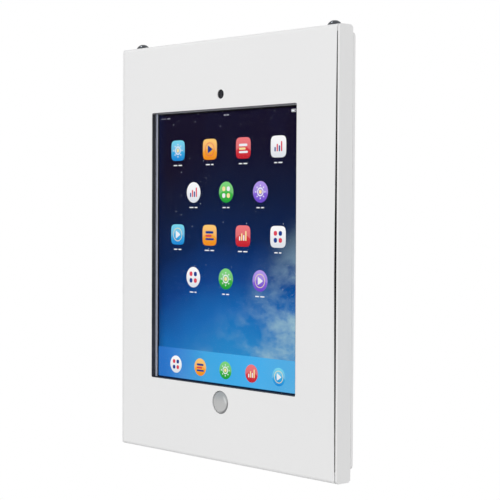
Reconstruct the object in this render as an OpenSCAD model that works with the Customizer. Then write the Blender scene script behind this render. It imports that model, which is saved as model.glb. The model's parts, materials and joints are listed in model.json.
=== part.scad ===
// Wall mount for a 9.7 inch class tablet: a folded steel front cover in a folded rear case on a wall plate.
// Millimetres. +Z is up, the screen faces -Y, and the wall touches the plate's back face at y = 0.

/* [Mount body] */
// Overall width
mount_w = 225; // [222:0.5:260]
// Overall height
mount_h = 302; // [296:0.5:340]
// Thickness of the folded sheet of cover and case
sheet_t = 1.5; // [1:0.1:2]
// Thickness of the flat wall plate
plate_t = 2; // [1.8:0.1:3]
// Outer radius of the cover's two long bends
cover_bend_r = 2.5; // [2.2:0.1:4]
// Radius of the case walls' rear corners, seen from the side
wall_rear_r = 3; // [1:0.5:5]
// Outer radius of the case's upright bends
case_bend_r = 0.5; // [0.5:0.1:2]
// Distance from the top of the case down to the plate
plate_drop_top = 4.5; // [3:0.1:12]
// Distance from the bottom of the case up to the plate
plate_rise_bottom = 8.1; // [4:0.1:9]
// Radius of the plate's corners
plate_corner_r = 3; // [1:0.5:8]

/* [Seam between cover and case] */
// Gap between the cover's left edge and the side wall
seam_left = 0.2; // [0.2:0.05:0.6]
// Gap between the cover's right edge and the side wall, at the top and the bottom
seam_right = 0.75; // [0.3:0.05:0.9]
// How far the cover's right edge bows away from the wall at mid height
seam_bow = 1.35; // [0:0.1:2]
// Gap between the cover's top flange and the case's top flange
flange_gap = 0.2; // [0.15:0.05:0.5]
// Distance from the cover's top flange to the case's back
flange_rear_gap = 0.4; // [0.3:0.1:2]

/* [Window and holes in the cover] */
// How far the display window reaches past the picture at each side
window_side = 1.8; // [0:0.1:3]
// How far the display window reaches past the top of the picture
window_top = 1.65; // [0:0.05:3]
// How much of the bottom of the picture the cover hides
window_bottom_cover = 0.75; // [0:0.05:2]
// Corner radius of the window
window_r = 1; // [0.5:0.5:4]
// How far the window and the camera hole stand to the right of the mount's middle
window_x = -1.8; // [-2:0.1:1]
// How far the camera hole's middle stands above the camera
camera_hole_rise = 1; // [0:0.1:1.2]
// Diameter of the hole for the front camera
camera_hole_d = 6.6; // [4:0.1:8]
// Diameter of the hole for the home key cap
cap_hole_d = 16.5; // [15:0.1:18]
// How far the key cap stands to the right of the mount's middle
cap_x = -0.9; // [-1:0.1:1]

/* [Seals and pads] */
// Clear depth between the cover and the tablet's glass
gasket_space = 2; // [1.8:0.1:3]
// Width of the window gasket behind the cover
gasket_w = 5; // [3:0.5:8]
// Thickness of the gasket's lip on the window's cut edge
gasket_lip = 0.4; // [0.3:0.1:1]
// Width of the camera ring's flange behind the cover
camera_ring_w = 1.5; // [1.2:0.1:2.5]
// Running clearance between soft parts and the piece that passes them
soft_gap = 0.3; // [0.2:0.05:0.5]
// Thickness of the pads behind the tablet
back_pad_t = 1; // [0.6:0.1:3]
// Thickness of the pads under the tablet
shelf_pad_t = 1; // [0.5:0.1:3]
// Height of the foam block above the tablet
foam_top_h = 14; // [6:1:20]

/* [Home key cap] */
// Clearance round the cap in its hole
cap_gap = 0.3; // [0.15:0.05:0.5]
// How far the cap's face lies behind the cover's face
cap_recess = 0.4; // [0:0.1:0.8]
// Travel of the cap when it is pressed
cap_travel = 0.6; // [0.3:0.1:0.6]
// Thickness of the cap's flange
cap_flange_t = 0.7; // [0.5:0.1:0.8]
// How far the cap's flange reaches past the hole
cap_flange_w = 1.15; // [0.8:0.05:1.3]

/* [Tablet] */
// Room between the tablet and each side of the mount
room_side = 27.75; // [26:0.25:34]
// Room between the tablet and the top of the mount
room_top = 30; // [28:0.5:40]
// Room between the tablet and the bottom of the mount
room_bottom = 32; // [30:0.5:40]
// Thickness of the tablet
tablet_t = 7.5; // [7:0.1:9]
// Corner radius of the tablet
tablet_r = 10; // [6:1:14]
// Thickness of the front glass
glass_t = 0.5; // [0.4:0.1:0.7]
// Width of the border beside the lit picture
border_side = 10.85; // [8:0.05:14]
// Height of the border above and below the lit picture
border_end = 21.45; // [20.5:0.05:24]
// Distance from the picture's edge to the middle of the home key and the camera
key_offset = 10.65; // [9.5:0.05:11]
// Diameter of the tablet's home key
home_key_d = 10.8; // [9:0.1:11]
// Length of the power key
power_key_len = 10; // [8:0.5:14]
// Length of the volume key
volume_key_len = 18; // [14:0.5:24]
// Distance of the power key's middle from the tablet's right side
power_key_inset = 18.75; // [17:0.25:26]
// Distance of the volume key's middle from the tablet's top
volume_key_drop = 60; // [45:1:80]

/* [Fasteners] */
// Distance from the mount's side to the middle of a lock screw
lock_inset = 13; // [10:0.5:20]
// Distance from the front face back to the lock screws
lock_depth = 9.4; // [9:0.1:9.5]
// Diameter of the lock screws' heads
lock_head_d = 10; // [8:0.1:10.5]
// Height of the lock screws' heads
lock_head_h = 4; // [3:0.1:5]
// Diameter of the lock screws' shanks
lock_shank_d = 4; // [3.6:0.1:4.2]
// Distance from the mount's side to the wall screws and case screws
side_screw_inset = 14.5; // [13:0.5:18]
// Distance from the mount's top and bottom to the wall screw holes
wall_hole_inset = 51; // [46:0.5:64]
// Diameter of the wall screw holes
wall_hole_d = 5.5; // [4.5:0.1:6.5]
// Diameter of the access holes in front of the wall screws
access_d = 13; // [11:0.5:15]
// Distance from the mount's top and bottom to the case screws
case_screw_inset = 21; // [18:0.5:22]
// Diameter of the case screws
case_screw_d = 3.2; // [2.8:0.1:4]
// Spacing of the outer square of arm holes
arm_wide = 100; // [90:1:110]
// Spacing of the inner square of arm holes
arm_narrow = 75; // [60:1:80]
// Diameter of the arm holes
arm_hole_d = 4.2; // [3.5:0.1:5]

/* [Pivot at the bottom] */
// Diameter of the pivot pins
pivot_d = 3; // [2.6:0.1:3.2]
// Height of the pivot above the bottom of the mount
pivot_rise = 3; // [2.9:0.05:3.2]
// Distance from the front face back to the pivot
pivot_depth = 8.3; // [8:0.1:8.6]
// Distance from the pivot back to the cover's bottom flange's rear edge
pivot_tail = 1; // [0.5:0.1:1.2]
// Distance from a side wall to the cover's ear
ear_gap = 1.1; // [0.8:0.1:2]
// Radial clearance of the pins in the ears
pivot_clear = 0.05; // [0.03:0.01:0.1]

/* [Cable outlet] */
// Width of the cable hole through case and plate
cable_w = 36; // [30:1:44]
// Height of the cable hole
cable_h = 14; // [12:0.5:15]
// Height of the cable hole's middle above the bottom of the mount
cable_rise = 18; // [17:0.5:19]
// Wall of the cable grommet
grommet_wall = 2.3; // [1.5:0.1:3]

/* [Picture on the screen] */
// Size of a tile, as a part of the picture's width
tile_part = 0.1015; // [0.08:0.0005:0.11]
// Distance between tile middles across, as a part of the picture's width
tile_pitch = 0.237; // [0.2:0.001:0.24]
// Distance between tile rows, as a part of the picture's height
row_pitch = 0.157; // [0.14:0.001:0.165]
// Height of the pale band at the bottom, as a part of the picture's height
band_part = 0.122; // [0.1:0.001:0.13]

/* [Hidden] */

$fn = 96;
// Long cutters reach this far past what they cut
past = 1;

// Depths, counted from the wall towards the front as negative y
case_back_y = -plate_t;
case_inner_y = case_back_y - sheet_t;
tablet_back_y = case_inner_y - back_pad_t;
glass_y = tablet_back_y - tablet_t;
cover_inner_y = glass_y - gasket_space;
front_y = cover_inner_y - sheet_t;

half_w = mount_w / 2;
half_h = mount_h / 2;
inner_half_w = half_w - sheet_t;
cover_left_x = seam_left - inner_half_w;
cover_right_x = inner_half_w - seam_right;
cover_inner_r = cover_bend_r - sheet_t;

// Flanges at the top
cover_flange_under = half_h - sheet_t;
case_flange_top = cover_flange_under - flange_gap;
case_flange_under = case_flange_top - sheet_t;
case_flange_front_y = front_y + lock_depth - 4;
cover_flange_rear_y = case_inner_y - flange_rear_gap;

// Pivot
pivot_y = front_y + pivot_depth;
pivot_z = -half_h + pivot_rise;
ear_x = inner_half_w - ear_gap - sheet_t;
ear_r = pivot_rise;
case_back_low_z = -half_h + 3.5;

// Tablet
tablet_w = mount_w - 2 * room_side;
tablet_h = mount_h - room_top - room_bottom;
tablet_z = (room_bottom - room_top) / 2;
screen_w = tablet_w - 2 * border_side;
screen_h = tablet_h - 2 * border_end;
power_key_x = tablet_w / 2 - power_key_inset;
volume_key_z = tablet_h / 2 - volume_key_drop;
glass_back_y = glass_y + glass_t;
tablet_top = tablet_z + tablet_h / 2;
tablet_low = tablet_z - tablet_h / 2;
window_w = screen_w + 2 * window_side;
window_h = screen_h + window_top - window_bottom_cover;
window_z = tablet_z + (window_top + window_bottom_cover) / 2;
shell_rim = 0.6;
shell_wall = 1.6;
shell_floor = 1;
fit = 0.05;
bezel_t = 0.2;
dark_border = 1.5;
display_y = glass_back_y + bezel_t;
display_t = 2;
display_edge = 2;
layer = 0.04;
home_z = tablet_z - screen_h / 2 - key_offset;
camera_z = tablet_z + screen_h / 2 + key_offset;
camera_lens_r = 2.6;
camera_hole_z = camera_z + camera_hole_rise;
home_key_gap = 0.2;
home_key_t = 3.3;
home_key_travel = cap_travel / 2;
key_w = 2.4;
key_proud = 0.4;
key_depth = 1.9;
key_y = (glass_y + tablet_back_y) / 2;
key_gap = 0.15;

// Lock screws
lock_x = half_w - lock_inset;
lock_y = front_y + lock_depth;
head_gap = 0.1;
lock_shank_len = 8.6;
lock_block_h = 3;
lock_block_w = 10;
thread_gap = 0.05;
slot_gap = 0.4;

// Wall screws and case screws
side_x = half_w - side_screw_inset;
wall_hole_z = half_h - wall_hole_inset;
case_screw_z = half_h - case_screw_inset;
cable_drop = half_h - cable_rise;
case_head_d = 8;
case_head_h = 2.4;
plate_top = half_h - plate_drop_top;
plate_low = -half_h + plate_rise_bottom;

// Cap and its retainer
cap_r = cap_hole_d / 2 - cap_gap;
cap_flange_r = cap_hole_d / 2 + cap_flange_w;
cap_play = 0.05;
cap_flange_front_y = cover_inner_y + cap_play;
cap_flange_rear_y = cap_flange_front_y + cap_flange_t;
retainer_floor_y = cap_flange_rear_y + cap_travel + cap_play;
retainer_floor_t = 0.3;
retainer_r = cap_flange_r + 1.45;
retainer_hole_r = home_key_d / 2 + 0.6;
pip_r = home_key_d / 2 - 1.2;
pip_front_gap = 0.45;

// Gasket
gasket_rear_y = glass_y - soft_gap;
gasket_front_y = front_y + 0.15;
camera_collar_y = front_y + 0.6;

// Foam
foam_front_y = cover_inner_y + soft_gap;
foam_seam_y = front_y + 0.1;
foam_seam_clear = 0.15;
foam_seam_low = -half_h + 8;
foam_seam_top = half_h - 5;
foam_seam_foot = 4;
foam_seam_foot_t = 3;

// Grommet
grommet_lip = 2;
grommet_lip_t = 1;
grommet_rear_y = -0.3;

// Colours of the tiles, by number
GREEN = 0;
WHITE = 1;
RED = 2;
AMBER = 3;
CYAN = 4;
VIOLET = 5;

// Rows of tiles: four square ones, then three round ones, and so on, with five small round ones in the band
ROWS = 4;
tile = screen_w * tile_part;
tile_step_x = screen_w * tile_pitch;
tile_step_z = screen_h * row_pitch;
band_h = screen_h * band_part;
screen_top = tablet_z + screen_h / 2;
screen_low = tablet_z - screen_h / 2;
first_row = tile_step_z * 0.87;
band_tile = tile * 0.87;
band_step = tile * 1.8;
function row_count(row) = row % 2 == 0 ? 4 : 3;
function is_light(colour) = colour == WHITE || colour == AMBER;
// One entry for each tile: x, z, size, round or not, colour, motif, in the band or not
CELLS = concat(
    [for (row = [0:ROWS - 1], col = [0:row_count(row) - 1])
        [(col - (row_count(row) - 1) / 2) * tile_step_x, screen_top - first_row - row * tile_step_z,
         tile, row % 2 == 1, (3 * row + 5 * col + 4) % 6, (row + 2 * col) % 5, false]],
    [for (col = [0:4])
        [(col - 2) * band_step, screen_low + band_h / 2, band_tile, true, (col * 2 + 1) % 5, (col + 3) % 5, true]]
);

// A 2D shape drawn in (x, z), given depth from y0 back to y1
module slab(y0, y1) {
    translate([0, y1, 0]) rotate([90, 0, 0]) linear_extrude(y1 - y0) children();
}

// A 2D shape drawn in (y, z), carried along x from x0 to x1
module along_x(x0, x1) {
    translate([x0, 0, 0]) rotate([90, 0, 90]) linear_extrude(x1 - x0) children();
}

// A round hole or pin along y
module rod(r, x, z, y0, y1) {
    translate([x, y1, z]) rotate([90, 0, 0]) cylinder(r = r, h = y1 - y0);
}

// A rectangle with round corners about (0, z)
module round_rect(w, h, r, z = 0) {
    translate([0, z]) {
        square([w - 2 * r, h], center = true);
        square([w, h - 2 * r], center = true);
        for (sx = [-1, 1], sz = [-1, 1])
            translate([sx * (w / 2 - r), sz * (h / 2 - r)]) circle(r = r);
    }
}

// A slot with round ends, w long across
module round_slot(w, h) {
    square([w - h, h], center = true);
    for (s = [-1, 1]) translate([s * (w - h) / 2, 0]) circle(d = h);
}

// Side view of a folded C: front corners rounded, open at the back
module c_outline(y0, y1, half, r) {
    translate([y0 + r, -half]) square([y1 - y0 - r, 2 * half]);
    translate([y0, -half + r]) square([r + fit, 2 * (half - r)]);
    for (s = [-1, 1]) translate([y0 + r, s * (half - r)]) circle(r = r);
}

// Side view of the case walls
module wall_outline() {
    depth = case_back_y - front_y;
    translate([front_y + cover_bend_r, -half_h]) square([depth - cover_bend_r - wall_rear_r, mount_h]);
    translate([front_y, -half_h + cover_bend_r]) square([cover_bend_r, mount_h - 2 * cover_bend_r]);
    translate([case_back_y - wall_rear_r, -half_h + wall_rear_r])
        square([wall_rear_r, mount_h - 2 * wall_rear_r]);
    for (s = [-1, 1]) {
        translate([front_y + cover_bend_r, s * (half_h - cover_bend_r)]) circle(r = cover_bend_r);
        translate([case_back_y - wall_rear_r, s * (half_h - wall_rear_r)]) circle(r = wall_rear_r);
    }
}

// Top view of the folded case: back and two walls
module case_section() {
    difference() {
        union() {
            translate([-half_w, front_y]) square([mount_w, case_back_y - front_y - case_bend_r]);
            translate([-half_w + case_bend_r, case_back_y - case_bend_r])
                square([mount_w - 2 * case_bend_r, case_bend_r]);
            for (s = [-1, 1]) translate([s * (half_w - case_bend_r), case_back_y - case_bend_r])
                circle(r = case_bend_r);
        }
        translate([-inner_half_w, front_y - past]) square([2 * inner_half_w, case_inner_y - front_y + past]);
    }
}

module at_side_screws(z) {
    for (sx = [-1, 1], sz = [-1, 1]) translate([sx * side_x, 0, sz * z]) children();
}

module at_square(spacing) {
    for (sx = [-1, 1], sz = [-1, 1]) translate([sx * spacing / 2, 0, sz * spacing / 2]) children();
}

module wall_plate() {
    color("gainsboro")
    difference() {
        slab(-plate_t, 0)
            round_rect(mount_w, plate_top - plate_low, plate_corner_r, (plate_top + plate_low) / 2);
        at_side_screws(wall_hole_z) rod(wall_hole_d / 2, 0, 0, -plate_t - past, past);
        at_side_screws(case_screw_z) rod(case_screw_d / 2 + thread_gap, 0, 0, -plate_t - past, past);
        at_square(arm_wide) rod(arm_hole_d / 2, 0, 0, -plate_t - past, past);
        at_square(arm_narrow) rod(arm_hole_d / 2, 0, 0, -plate_t - past, past);
        slab(-plate_t - past, past) translate([0, -cable_drop]) round_slot(cable_w, cable_h);
    }
}

module rear_case() {
    color("white")
    difference() {
        union() {
            intersection() {
                translate([0, 0, -half_h]) linear_extrude(mount_h) case_section();
                along_x(-half_w, half_w) wall_outline();
            }
            translate([-inner_half_w - fit, case_flange_front_y, case_flange_under])
                cube([2 * (inner_half_w + fit), case_inner_y + fit - case_flange_front_y, sheet_t]);
        }
        translate([-inner_half_w, case_inner_y - past, case_flange_top])
            cube([2 * inner_half_w, sheet_t + 2 * past, mount_h]);
        translate([-inner_half_w, case_inner_y - past, case_back_low_z - mount_h])
            cube([2 * inner_half_w, sheet_t + 2 * past, mount_h]);
        at_side_screws(wall_hole_z) rod(access_d / 2, 0, 0, case_inner_y - past, past);
        at_side_screws(case_screw_z) rod(case_screw_d / 2 + 0.5, 0, 0, case_inner_y - past, past);
        at_square(arm_wide) rod(arm_hole_d, 0, 0, case_inner_y - past, past);
        at_square(arm_narrow) rod(arm_hole_d, 0, 0, case_inner_y - past, past);
        slab(case_inner_y - past, past) translate([0, -cable_drop]) round_slot(cable_w, cable_h);
        for (s = [-1, 1]) translate([s * lock_x, lock_y, case_flange_under - past])
            cylinder(r = lock_shank_d / 2 + slot_gap, h = sheet_t + 2 * past);
    }
}

// Pan-head screws that hold the case to the plate
module case_screws() {
    color("silver")
    at_side_screws(case_screw_z) difference() {
        union() {
            rod(case_screw_d / 2, 0, 0, case_inner_y - fit, grommet_rear_y);
            rod(case_head_d / 2, 0, 0, case_inner_y - case_head_h + 0.6, case_inner_y);
            rod(case_head_d / 2 - 0.6, 0, 0, case_inner_y - case_head_h, case_inner_y);
        }
        for (turn = [0, 90]) rotate([0, turn, 0])
            translate([-2.2, case_inner_y - case_head_h - past, -0.5]) cube([4.4, past + 1.4, 1]);
    }
}

// Dome-head security screws through both top flanges
module lock_screws() {
    rim_h = 0.7;
    cap_h = lock_head_h - rim_h;
    head_r = lock_head_d / 2;
    dome_r = (head_r * head_r + cap_h * cap_h) / (2 * cap_h);
    head_z = half_h + head_gap;
    color("dimgray")
    for (s = [-1, 1]) translate([s * lock_x, lock_y, head_z]) difference() {
        union() {
            translate([0, 0, -lock_shank_len]) cylinder(d = lock_shank_d, h = lock_shank_len + fit);
            cylinder(r = head_r, h = rim_h + 2 * fit);
            intersection() {
                translate([0, 0, rim_h + fit]) cylinder(r = head_r + past, h = cap_h);
                translate([0, 0, lock_head_h - dome_r]) sphere(r = dome_r);
            }
        }
        difference() {
            translate([0, 0, lock_head_h - 1.9]) cylinder(r = 1.75, h = 1.9 + past, $fn = 6);
            translate([0, 0, lock_head_h - 2]) cylinder(r = 0.6, h = 1.7);
        }
    }
}

// Threaded blocks welded under the case's top flange
module lock_nuts() {
    color("silver")
    for (s = [-1, 1]) translate([s * lock_x, 0, case_flange_under - lock_block_h]) difference() {
        translate([-lock_block_w / 2, case_flange_front_y, 0])
            cube([lock_block_w, case_inner_y - case_flange_front_y, lock_block_h]);
        translate([0, lock_y, -past]) cylinder(r = lock_shank_d / 2 + thread_gap, h = lock_block_h + 2 * past);
    }
}

module pivot_pins() {
    color("silver")
    for (s = [-1, 1]) translate([s * inner_half_w, pivot_y, pivot_z]) rotate([0, -s * 90, 0])
        cylinder(d = pivot_d, h = ear_gap + sheet_t + 0.8);
}

module cable_grommet() {
    color("black")
    slab(case_inner_y - grommet_lip_t, grommet_rear_y) translate([0, -cable_drop]) difference() {
        round_slot(cable_w - 2 * fit, cable_h - 2 * fit);
        round_slot(cable_w - 2 * grommet_wall, cable_h - 2 * grommet_wall);
    }
    color("black")
    slab(case_inner_y - grommet_lip_t, case_inner_y) translate([0, -cable_drop]) difference() {
        round_slot(cable_w + 2 * grommet_lip, cable_h + 2 * grommet_lip);
        round_slot(cable_w - 2 * fit - 1, cable_h - 2 * fit - 1);
    }
}

shelf_in = cable_w / 2 + grommet_lip + 1;
shelf_out = tablet_w / 2 - tablet_r - 3;
shelf_top = tablet_low - shelf_pad_t;
shelf_leg = 14;

// Two welded angle brackets that carry the tablet, one each side of the cable
module tablet_shelves() {
    color("white")
    for (s = [0, 1]) mirror([s, 0, 0]) {
        translate([shelf_in, glass_y, shelf_top - sheet_t])
            cube([shelf_out - shelf_in, case_inner_y - glass_y, sheet_t]);
        translate([shelf_in, case_inner_y - sheet_t, shelf_top - shelf_leg])
            cube([shelf_out - shelf_in, sheet_t, shelf_leg]);
    }
}

module shelf_pads() {
    color("black")
    for (s = [0, 1]) mirror([s, 0, 0])
        translate([shelf_in, glass_y, shelf_top]) cube([shelf_out - shelf_in, tablet_t, shelf_pad_t]);
}

module back_pads() {
    color("black")
    for (sx = [-1, 1], sz = [-1, 1])
        slab(tablet_back_y, case_inner_y) translate([sx * tablet_w * 0.38, tablet_z + sz * tablet_h * 0.34])
            square([16, 40], center = true);
}

// How far the cover's right edge stands back at height z
function bow(z) = seam_bow * (1 - pow(z / (half_h - cover_bend_r), 2));

// The cover's right edge in (x, z) from z0 up to z1, moved by dx
function right_edge(z0, z1, dx, steps) =
    [for (i = [0:steps]) let (z = z0 + (z1 - z0) * i / steps) [cover_right_x + dx - bow(z), z]];

// Foam between the tablet's side and the wall, with a pocket at each wall screw and a recess at the volume key
module side_foam(side) {
    difference() {
        slab(foam_front_y, case_inner_y)
            translate([side > 0 ? tablet_w / 2 : -inner_half_w, tablet_low])
                square([inner_half_w - tablet_w / 2, tablet_h]);
        at_side_screws(wall_hole_z) rod(access_d / 2 + 0.5, 0, 0, foam_front_y - past, case_inner_y + past);
        if (side > 0)
            translate([tablet_w / 2 - past, key_y - key_w, tablet_z + volume_key_z - volume_key_len / 2 - 1])
                cube([past + key_proud + 1, 2 * key_w, volume_key_len + 2]);
    }
}

module foam_left() {
    color("black") side_foam(-1);
}

// The right strip has a lip that stands in the seam beside the cover's bowed edge
module foam_right() {
    color("black") {
        side_foam(1);
        slab(foam_seam_y, foam_front_y + fit) polygon(concat(
            right_edge(foam_seam_low, foam_seam_top, foam_seam_clear, 16),
            [[inner_half_w, foam_seam_top], [inner_half_w, foam_seam_low]]));
        translate([inner_half_w - foam_seam_foot, foam_front_y, foam_seam_low])
            cube([foam_seam_foot, foam_seam_foot_t, foam_seam_top - foam_seam_low]);
    }
}

module foam_top() {
    half = tablet_w / 2 - tablet_r + 3;
    color("black")
    difference() {
        translate([-half, foam_front_y, tablet_top]) cube([2 * half, case_inner_y - foam_front_y, foam_top_h]);
        translate([power_key_x - power_key_len / 2 - 1, key_y - key_w, tablet_top - past])
            cube([power_key_len + 2, 2 * key_w, past + key_proud + 1]);
    }
}

// Front view of the tablet, drawn in by an inset
module tablet_outline(inset) {
    round_rect(tablet_w - 2 * inset, tablet_h - 2 * inset, tablet_r - inset, tablet_z);
}

// A key's slot or body on the tablet's edge, pointing out along +Z before it is placed
module key_shape(len, wide, height) {
    linear_extrude(height) round_slot(len, wide);
}

module at_power_key(sink) {
    translate([power_key_x, key_y, tablet_top - sink]) children();
}

module at_volume_key(sink) {
    translate([tablet_w / 2 - sink, key_y, tablet_z + volume_key_z]) rotate([0, 90, 0]) children();
}

module tablet_shell() {
    color("silver")
    difference() {
        slab(glass_y, tablet_back_y) tablet_outline(0);
        slab(glass_y - past, glass_back_y + bezel_t) tablet_outline(shell_rim);
        slab(glass_y - past, tablet_back_y - shell_floor) tablet_outline(shell_wall);
        at_power_key(shell_wall + past) key_shape(power_key_len + 2 * key_gap, key_w + 2 * key_gap, 10);
        at_volume_key(shell_wall + past) key_shape(volume_key_len + 2 * key_gap, key_w + 2 * key_gap, 10);
        slab(glass_y + tablet_t / 2 - 1, glass_y + tablet_t / 2 + 1)
            translate([0, tablet_low]) square([9, 4 * shell_wall], center = true);
    }
}

module tablet_glass() {
    color("lightgray", 0.3)
    slab(glass_y, glass_back_y) difference() {
        tablet_outline(shell_rim + fit);
        translate([0, home_z]) circle(r = home_key_d / 2 + home_key_gap);
    }
}

// The painted border behind the glass
module tablet_bezel() {
    color("whitesmoke")
    slab(glass_back_y, glass_back_y + bezel_t) difference() {
        tablet_outline(shell_rim + fit);
        translate([0, tablet_z]) square([screen_w + 2 * dark_border, screen_h + 2 * dark_border], center = true);
        translate([0, home_z]) circle(r = home_key_d / 2 + home_key_gap);
        translate([0, camera_z]) circle(r = camera_lens_r + fit);
    }
}

module tablet_display() {
    color("black")
    slab(display_y, display_y + display_t) translate([0, tablet_z])
        square([screen_w + 2 * display_edge, screen_h + 2 * display_edge], center = true);
}

inside_y = tablet_back_y - shell_floor;
battery_t = 3;

module tablet_battery() {
    cell_w = screen_w * 0.34;
    cell_h = screen_h * 0.76;
    color("dimgray")
    for (half = [0, 1])
        translate([-screen_w * 0.45 + half * (cell_w + 2), inside_y - battery_t, tablet_z - cell_h / 2])
            cube([cell_w, battery_t, cell_h]);
}

board_t = 1;

module tablet_board() {
    board_y = inside_y - 0.6;
    board_right = tablet_w / 2 - shell_wall - 7;
    board_w = screen_w * 0.21;
    board_left = board_right - board_w;
    foot = 0.1;
    color("darkgreen") {
        translate([board_left, board_y - board_t, tablet_low + 16]) cube([board_w, board_t, tablet_h - 36]);
        translate([-8, board_y - board_t, tablet_low + 4]) cube([board_right + 8, board_t, 14]);
        translate([board_left + board_w * 0.2, board_y - 2.2, tablet_z + screen_h * 0.1])
            cube([board_w * 0.5, 1.3, board_w * 0.5]);
        translate([board_left + board_w * 0.2, board_y - 2, tablet_z - screen_h * 0.1])
            cube([board_w * 0.45, 1.1, board_w * 0.7]);
        for (at = [[board_left + 4, tablet_z - screen_h * 0.4], [board_right - 4, tablet_z + screen_h * 0.4],
                   [-4, tablet_low + 8]])
            rod(2, at[0], at[1], board_y - foot, inside_y);
    }
}

module home_switch() {
    color("silver")
    translate([-3, inside_y - 0.6 - board_t - 1.2, home_z - 3]) cube([6, 1.2, 6]);
}

module tablet_camera() {
    color("black")
    difference() {
        rod(camera_lens_r, 0, camera_z, glass_back_y, inside_y);
        rod(camera_lens_r - 0.9, 0, camera_z, glass_back_y - past, glass_back_y + 0.6);
    }
}

module tablet_home_key() {
    color("whitesmoke")
    difference() {
        rod(home_key_d / 2, 0, home_z, glass_y, glass_y + home_key_t);
        translate([0, glass_y - 29.9, home_z]) sphere(r = 30.1);
    }
}

module tablet_power_key() {
    color("silver")
    at_power_key(key_depth - key_proud) key_shape(power_key_len, key_w, key_depth);
}

module tablet_volume_key() {
    color("silver")
    at_volume_key(key_depth - key_proud) key_shape(volume_key_len, key_w, key_depth);
}

// Layers of the picture, each lying on the one behind it
backdrop_y = display_y - layer;
tile_y = backdrop_y - 2 * layer;
mark_y = tile_y - layer;

module screen_backdrop() {
    color("midnightblue")
    slab(backdrop_y, display_y) translate([0, tablet_z]) square([screen_w, screen_h], center = true);
}

module screen_band() {
    color("deepskyblue")
    slab(backdrop_y - layer, backdrop_y)
        translate([-screen_w / 2, screen_low]) square([screen_w, band_h]);
}

module tile_shape(cell) {
    translate([cell[0], cell[1]]) {
        if (cell[3]) circle(d = cell[2]);
        else round_rect(cell[2], cell[2], cell[2] * 0.22);
    }
}

module tiles_of(colour) {
    for (cell = CELLS) if (cell[4] == colour)
        slab(tile_y, cell[6] ? backdrop_y - layer : backdrop_y) tile_shape(cell);
}

// A simple sign on a tile, drawn about its middle for a tile of size 1
module motif(number) {
    if (number == 0) difference() {
        circle(d = 0.56);
        circle(d = 0.36);
    }
    if (number == 1) for (i = [-1:1])
        translate([i * 0.17, i * 0.05]) square([0.09, 0.42 + i * 0.1], center = true);
    if (number == 2) polygon([[-0.17, -0.24], [0.27, 0], [-0.17, 0.24]]);
    if (number == 3) for (sx = [-1, 1], sz = [-1, 1]) translate([sx * 0.15, sz * 0.15]) circle(d = 0.2);
    if (number == 4) {
        square([0.5, 0.13], center = true);
        square([0.13, 0.5], center = true);
    }
}

module motifs(light) {
    for (cell = CELLS) if (is_light(cell[4]) != light)
        slab(mark_y, tile_y) translate([cell[0], cell[1]]) scale(cell[2]) motif(cell[5]);
}

module screen_marks_light() {
    label_drop = tile * 0.23;
    status_drop = tile * 0.2;
    color("white") {
        motifs(true);
        slab(backdrop_y - layer, backdrop_y) {
            for (cell = CELLS) if (!cell[6])
                translate([cell[0], cell[1] - cell[2] / 2 - label_drop])
                    square([tile * 0.62, tile * 0.07], center = true);
            translate([0, screen_top - status_drop]) square([tile * 0.6, tile * 0.08], center = true);
            for (i = [0:3])
                translate([-screen_w / 2 + tile * (0.27 + 0.11 * i), screen_top - status_drop - tile * 0.04])
                    square([tile * 0.07, tile * (0.04 + 0.02 * i)]);
            translate([screen_w / 2 - tile * 0.4, screen_top - status_drop])
                square([tile * 0.3, tile * 0.12], center = true);
        }
    }
}

module screen_marks_dark() {
    color("navy") motifs(false);
}

// The window's outline, grown by an amount
module window_shape(grow) {
    translate([window_x, 0]) round_rect(window_w + 2 * grow, window_h + 2 * grow, window_r + grow, window_z);
}

// Front view of the cover with its bowed right edge
module cover_outline() {
    top = half_h - cover_bend_r;
    polygon(concat(
        [[cover_left_x, -half_h], [cover_right_x, -half_h]],
        right_edge(-top, top, 0, 20),
        [[cover_right_x, half_h], [cover_left_x, half_h]]));
}

// An ear on the bottom flange, with the bore for a pivot pin
module cover_ear() {
    along_x(ear_x, ear_x + sheet_t) difference() {
        union() {
            translate([pivot_y, pivot_z]) circle(r = ear_r);
            translate([pivot_y - ear_r, -half_h]) square([ear_r + pivot_tail, pivot_rise]);
        }
        translate([pivot_y, pivot_z]) circle(r = pivot_d / 2 + pivot_clear);
    }
}

module front_cover() {
    color("white")
    difference() {
        union() {
            difference() {
                intersection() {
                    along_x(cover_left_x, cover_right_x) difference() {
                        c_outline(front_y, cover_flange_rear_y, half_h, cover_bend_r);
                        c_outline(cover_inner_y, past, half_h - sheet_t, cover_inner_r);
                    }
                    slab(front_y - past, past) cover_outline();
                }
                translate([-half_w, pivot_y + pivot_tail, -half_h - past])
                    cube([mount_w, mount_h, 2 * sheet_t + past]);
            }
            for (s = [0, 1]) mirror([s, 0, 0]) cover_ear();
        }
        slab(front_y - past, cover_inner_y + past) {
            window_shape(0);
            translate([window_x, camera_hole_z]) circle(d = camera_hole_d);
            translate([cap_x, home_z]) circle(d = cap_hole_d);
        }
        for (s = [-1, 1]) translate([s * lock_x, 0, cover_flange_under - past]) {
            translate([0, lock_y, 0]) cylinder(r = lock_shank_d / 2 + slot_gap, h = sheet_t + 2 * past);
            translate([-lock_shank_d / 2 - slot_gap, lock_y, 0])
                cube([lock_shank_d + 2 * slot_gap, past - lock_y, sheet_t + 2 * past]);
        }
    }
}

// Black foam frame behind the cover, with a thin lip over the window's cut edge
module window_gasket() {
    color("black")
    difference() {
        union() {
            slab(cover_inner_y, gasket_rear_y) window_shape(gasket_w);
            slab(gasket_front_y, cover_inner_y + fit) window_shape(0);
        }
        slab(gasket_front_y - past, gasket_rear_y + past) window_shape(-gasket_lip);
        rod(retainer_r + 0.1, cap_x, home_z, cover_inner_y - fit, past);
    }
}

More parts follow.
